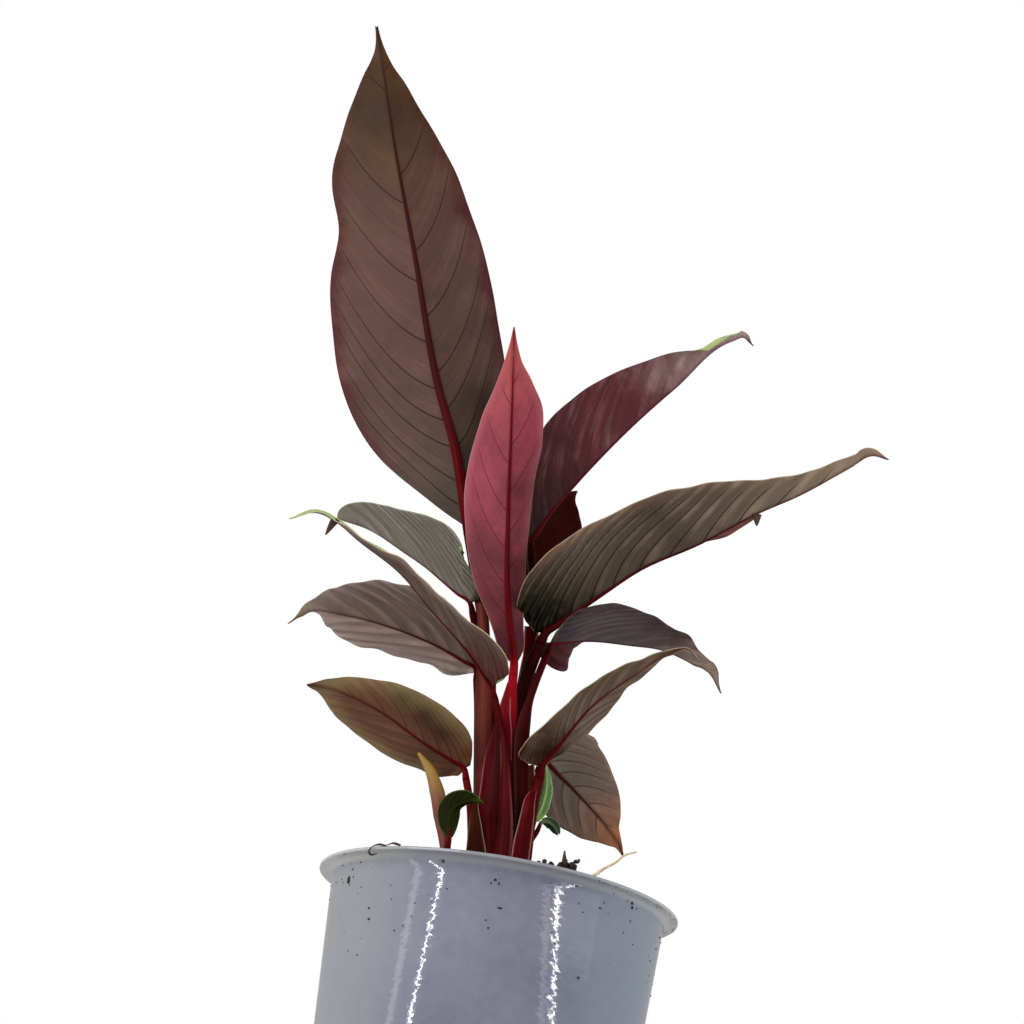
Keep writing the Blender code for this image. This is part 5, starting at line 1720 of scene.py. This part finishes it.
# Pieces of bark on the mix, as in the solids: the middle, three half lengths and the turn about Z.
BARK = (
    ((13, -49, 117.5), (10, 4.5, 9.5), 10),
    ((20.5, -47, 119.5), (5, 6, 9.5), 35),
    ((18.3, -49, 127), (1.0, 1.4, 7.5), 20),
    ((-30, -28, 117), (8, 4, 3.5), 60),
    ((36, 10, 117), (9, 5, 3.5), 100),
    ((-22, 34, 117.5), (7, 5, 3), 150),
    ((5, 40, 117), (10, 4, 3.5), 20),
    ((-44, 4, 117), (6, 8, 3), 75),
)


def make_soil(sizes):
    """The potting mix, its pieces of bark and the crumbs strewn over it."""
    rng = np.random.default_rng(sizes.seed)
    shell = Shell()
    shell.add(*soil_shell(rng))
    for middle, half, turn in BARK:
        shell.add(*lump(rng, middle, half, math.radians(turn), subdivisions=2), finish=1)
    # Splinters of bark heaped against the front of the pot, higher towards the right.
    for _ in range(SPLINTERS):
        x = rng.uniform(8, 23)
        middle = (x, rng.uniform(-54, -47), 124.5 + 0.28 * (x - 8) + rng.uniform(-1.5, 1.5))
        half = rng.uniform((0.5, 0.4, 0.5), (1.9, 1.1, 1.5))
        shell.add(*lump(rng, middle, half, rng.uniform(0, np.pi)), finish=int(rng.uniform() < 0.3))
    # Crumbs, evenly spread, but for the crown and the middle of the pot.
    for _ in range(CRUMBS):
        angle, reach = rng.uniform(0, 2 * np.pi), CRUMB_REACH * math.sqrt(rng.uniform(0.08, 1))
        size = rng.uniform(0.7, 2.4)
        half = size * rng.uniform((0.7, 0.5, 0.3), (1.6, 1.0, 0.8))
        middle = turned(reach, SOIL_LEVEL - 0.4 + 0.3 * size, angle)
        if math.dist(middle[:2], CROWN_CENTRE) > CROWN_RADIUS and reach < CRUMB_REACH:
            shell.add(*lump(rng, middle, half, rng.uniform(0, np.pi)), finish=int(rng.uniform() < 0.5))
    peat = potting_mix("moist_peat", "#120b08", "#3a261a")
    bark = potting_mix("composted_bark", "#1c0f0b", "#5a3424")
    shell.piece("potting_mix_top", [peat, bark], "soil", smooth=False)
    make_specks(rng, peat, bark)


# Crumbs stuck to the pot: degrees round it, height, half width and half height.
STUCK = (
    (-150.9, 115.2, 1.0, 1.5), (-149, 118.6, 0.35, 0.35), (-43.7, 121, 0.7, 0.6),
    (-43.2, 119.5, 0.6, 0.6), (-93.5, 116.8, 0.5, 0.4), (-94.6, 115.6, 0.35, 0.3),
    (-92.2, 115.9, 0.3, 0.4), (-90.7, 108.3, 0.8, 0.25), (-67.6, 120.2, 0.6, 0.3),
    (-57.4, 115.6, 0.4, 0.3), (-61.1, 92.3, 0.4, 0.4), (-140.1, 89.9, 0.35, 0.3),
    (-137.1, 105, 0.45, 0.35), (-136.4, 101.4, 0.5, 0.4), (-93.4, 101.6, 0.35, 0.35),
)
# Crumbs on the flange: degrees round the pot, distance from its axis, and size.
ON_FLANGE = ((-149, 64.3, 0.5), (-34.6, 64.2, 0.5), (-43.4, 64.2, 0.4))
# A rootlet over the flange: degrees round the pot, distance from its axis, and height.
HOOK = (
    (-124, 64.6, 124.2), (-126.5, 65.1, 124.7), (-129, 65.2, 124), (-131.5, 65.4, 124.3),
    (-134, 65.7, 123.4), (-134.8, 65.8, 122), (-133.4, 65.8, 120.8), (-131.6, 65.6, 121.2),
)


def make_specks(rng, peat, bark):
    """Soil stuck to the pot's wall and flange, and a rootlet that hangs over the flange."""
    shell = Shell()
    stuck = list(STUCK)
    for _ in range(SPECKS):
        size = rng.uniform(0.12, 0.3)
        stuck.append((rng.uniform(-175, -5), 122 - 26 * rng.uniform() ** 2, size, size))
    for angle, z, wide, tall in stuck:
        turn = math.radians(angle)
        half = (min(0.4, wide), 1.4 * wide, 1.4 * tall)
        chip = lump(rng, turned(wall_radius(z) + 0.1, z, turn), half, turn)
        shell.add(*chip, finish=int(rng.uniform() < 0.3))
    flange = list(ON_FLANGE)
    for _ in range(SPECKS):
        flange.append((rng.uniform(-62, 12), rng.uniform(62, 64.6), rng.uniform(0.12, 0.34)))
    for angle, radius, size in flange:
        turn = math.radians(angle)
        chip = lump(rng, turned(radius, POT_HEIGHT - POT_LIP, turn), (size, size, 0.4 * size), turn)
        shell.add(*chip, finish=int(rng.uniform() < 0.4))
    angles, radii, heights = np.array(HOOK).T
    path = smooth_path(turned(radii, heights, np.radians(angles)), 40)
    thickness = 0.3 + 0.12 * np.sin(np.linspace(0, 17, 40))
    shell.add(*carried(path, round_profile(thickness, 8), (0.0, 0.0, 1.0)), finish=1)
    shell.piece("soil_specks", [peat, bark], None, slot="soil")


# Stage


# The two ends of each soft light, the height above the floor's middle that it looks at and its
# width, all in metres, and its watts.
LIGHTS = {
    "key": ((-1.0, -1.0, 0.4), (-0.8, -0.75, 1.2), 0.28, 0.9, 11.0),
    "fill": ((1.1, -0.9, 0.15), (1.0, -0.8, 0.95), 0.25, 0.9, 1.5),
    "window_left": ((-1.28, -0.83, -0.13), (-0.77, -1.33, 0.43), 0.08, 0.011, 2.3),
    "window_right": ((1.28, -0.83, -0.05), (0.48, -1.47, 0.43), 0.08, 0.011, 2.3),
    "echo_right": ((1.15, -1.0, -0.05), (0.27, -1.52, 0.43), 0.08, 0.04, 0.35),
    "glow_left": ((-1.45, -0.5, -0.13), (-1.18, -1.0, 0.43), 0.08, 0.09, 0.55),
    "card_left": ((-1.5, 0.1, 0.0), (-1.5, 0.1, 0.6), 0.1, 0.9, 5.0),
    "card_right": ((1.5, -0.1, 0.0), (1.5, -0.1, 0.6), 0.1, 0.9, 6.0),
}


def make_floor(reach=6.0):
    """A wide sheet of matt white paper, with grain of 25 mm."""
    corners = np.array([(-reach, -reach, 0), (reach, -reach, 0), (reach, reach, 0), (-reach, reach, 0)])
    mesh = mesh_of("floor", corners / MM, [np.arange(4)[None]])
    floor = bpy.data.objects.new("floor", mesh)
    bpy.context.scene.collection.objects.link(floor)
    finish, tree = new_finish("matt_white_paper", {"Roughness": 0.9})
    grain = add(tree, "TexNoise", {"Vector": add(tree, "TexCoord", out="Object"), "Scale": 40.0})
    tone = add(tree, "Mix", {0: grain, A: paint("#e9e9e7"), B: paint("#eeeeec")}, **COLOURS)
    mesh.materials.append(dress(finish, tone))


def make_world(ambient):
    """Surroundings that look white to the camera and light the plant by the ambient strength."""
    world = bpy.data.worlds.new("studio")
    world.use_nodes = True
    bpy.context.scene.world = world
    tree = world.node_tree
    back = tree.nodes["Background"]
    seen = add(tree, "LightPath", out="Is Camera Ray")
    level = add(tree, "MapRange", {"Value": seen, "To Min": ambient, "To Max": 1.0})
    tree.links.new(level, back.inputs["Strength"])
    back.inputs["Color"].default_value = (1.0, 1.0, 1.0, 1.0)


def placed(name, data, place, right, above, ahead):
    """Adds a light or a camera at a place, looking ahead."""
    made = bpy.data.objects.new(name, data)
    bpy.context.scene.collection.objects.link(made)
    turn = np.column_stack([right, above, -ahead, place])
    made.matrix_world = Matrix([*turn.tolist(), (0, 0, 0, 1)])
    return made


def make_lights():
    """Long soft lights, which the pot's wall mirrors as streaks, and broad cards."""
    for name, (low, high, aim, wide, watts) in LIGHTS.items():
        low, high = np.array(low), np.array(high)
        place = (low + high) / 2
        lamp = bpy.data.lights.new(name, "AREA")
        lamp.shape = "RECTANGLE"
        lamp.size, lamp.size_y = wide, float(np.linalg.norm(high - low))
        lamp.energy = watts
        above = unit(high - low)
        ahead = np.array((0, 0, aim)) - place
        ahead = unit(ahead - (ahead @ above) * above)
        made = placed(name, lamp, place, np.cross(ahead, above), above, ahead)
        made.visible_camera = False
        # The cards only lift the pot's sides; a sharp-edged image of them would show in its wall.
        made.visible_glossy = not name.startswith("card")


def make_camera():
    """The camera of the photograph, which looks up at the plant and leans to its right."""
    camera = bpy.data.cameras.new("camera")
    camera.sensor_width = SENSOR
    camera.lens = SENSOR * FOCAL_PIXELS / PHOTO_PIXELS
    camera.clip_start, camera.clip_end = 0.01, 20.0
    pitch, roll = math.radians(CAMERA_PITCH), math.radians(CAMERA_ROLL)
    level, upright = np.array((1.0, 0, 0)), np.array((0, -math.sin(pitch), math.cos(pitch)))
    ahead = np.array((0, math.cos(pitch), math.sin(pitch)))
    right = math.cos(roll) * level + math.sin(roll) * upright
    above = -math.sin(roll) * level + math.cos(roll) * upright
    bpy.context.scene.camera = placed("camera", camera, CAMERA_PLACE, right, above, ahead)


def make_stage(sizes):
    """Pale floor, near-white surroundings, soft light, and the camera of the photograph."""
    make_floor()
    make_world(sizes.ambient)
    make_lights()
    make_camera()
    scene = bpy.context.scene
    scene.view_settings.view_transform = "Standard"
    scene.view_settings.look = "None"


# Add-on


class ApoballisSizes(bpy.types.PropertyGroup):
    """Sizes that a user would change."""

    blade_thickness: FloatProperty(
        name="Blade thickness", description="Thickness of a leaf blade", default=0.0006, min=0.0003,
        max=0.001, unit="LENGTH",
    )
    grid: FloatProperty(
        name="Grid", description="Millimetres between the points of a blade", default=1.15, min=0.5,
        max=4.0,
    )
    ambient: FloatProperty(
        name="Ambient", description="Strength of the light from all round", default=0.46, min=0.0,
        max=2.0,
    )
    seed: IntProperty(name="Seed", description="Seed of the potting mix", default=11, min=0)


class ApoballisColours(bpy.types.PropertyGroup):
    """Colours that a user would change."""

    stalk: FloatVectorProperty(
        name="Stalk", description="Middle colour of the stalks and the midribs' feet", subtype="COLOR",
        size=4, default=paint(STALK_MID), min=0.0, max=1.0,
    )


def settings(context):
    """The sizes and the colours."""
    return context.scene.apoballis_sizes, context.scene.apoballis_colours


class APOBALLIS_OT_pot(bpy.types.Operator):
    """Turns the nursery pot"""

    bl_idname = "apoballis.pot"
    bl_label = "Nursery pot"

    def execute(self, context):
        make_pot()
        return {"FINISHED"}


class APOBALLIS_OT_soil(bpy.types.Operator):
    """Fills the pot with potting mix and bark"""

    bl_idname = "apoballis.soil"
    bl_label = "Potting mix"

    def execute(self, context):
        sizes, _ = settings(context)
        make_soil(sizes)
        return {"FINISHED"}


class APOBALLIS_OT_stem(bpy.types.Operator):
    """Makes the crown and the stalks"""

    bl_idname = "apoballis.stem"
    bl_label = "Crown and stalks"

    def execute(self, context):
        _, colours = settings(context)
        make_stem(colours)
        return {"FINISHED"}


class APOBALLIS_OT_leaves(bpy.types.Operator):
    """Makes every leaf that rises from the crown"""

    bl_idname = "apoballis.leaves"
    bl_label = "Leaves"

    def execute(self, context):
        for name, leaf in LEAVES.items():
            make_leaf(name, leaf, *settings(context))
        return {"FINISHED"}


class APOBALLIS_OT_small_growth(bpy.types.Operator):
    """Makes the small green leaf, the rolled young leaf and the loose root"""

    bl_idname = "apoballis.small_growth"
    bl_label = "Small growth"

    def execute(self, context):
        make_small_growth(*settings(context))
        return {"FINISHED"}


class APOBALLIS_OT_stage(bpy.types.Operator):
    """Sets the floor, the light and the camera"""

    bl_idname = "apoballis.stage"
    bl_label = "Stage"

    def execute(self, context):
        sizes, _ = settings(context)
        make_stage(sizes)
        return {"FINISHED"}


OPERATORS = (
    APOBALLIS_OT_pot,
    APOBALLIS_OT_soil,
    APOBALLIS_OT_stem,
    APOBALLIS_OT_leaves,
    APOBALLIS_OT_small_growth,
    APOBALLIS_OT_stage,
)


class APOBALLIS_PT_panel(bpy.types.Panel):
    """Lists the settings and the steps"""

    bl_idname = "APOBALLIS_PT_panel"
    bl_label = "Apoballis"
    bl_space_type = "VIEW_3D"
    bl_region_type = "UI"
    bl_category = "Apoballis"

    def draw(self, context):
        sizes, colours = settings(context)
        for group in (sizes, colours):
            for key in group.__annotations__:
                self.layout.prop(group, key)
        for operator in OPERATORS:
            self.layout.operator(operator.bl_idname)


CLASSES = (ApoballisSizes, ApoballisColours, *OPERATORS, APOBALLIS_PT_panel)


def register():
    """Registers the classes and the settings."""
    for kind in CLASSES:
        bpy.utils.register_class(kind)
    bpy.types.Scene.apoballis_sizes = PointerProperty(type=ApoballisSizes)
    bpy.types.Scene.apoballis_colours = PointerProperty(type=ApoballisColours)


def unregister():
    """Takes both away again."""
    del bpy.types.Scene.apoballis_colours
    del bpy.types.Scene.apoballis_sizes
    for kind in reversed(CLASSES):
        bpy.utils.unregister_class(kind)


def main():
    """Makes every piece."""
    register()
    for operator in OPERATORS:
        group, name = operator.bl_idname.split(".")
        getattr(getattr(bpy.ops, group), name)()


if __name__ == "__main__":
    main()
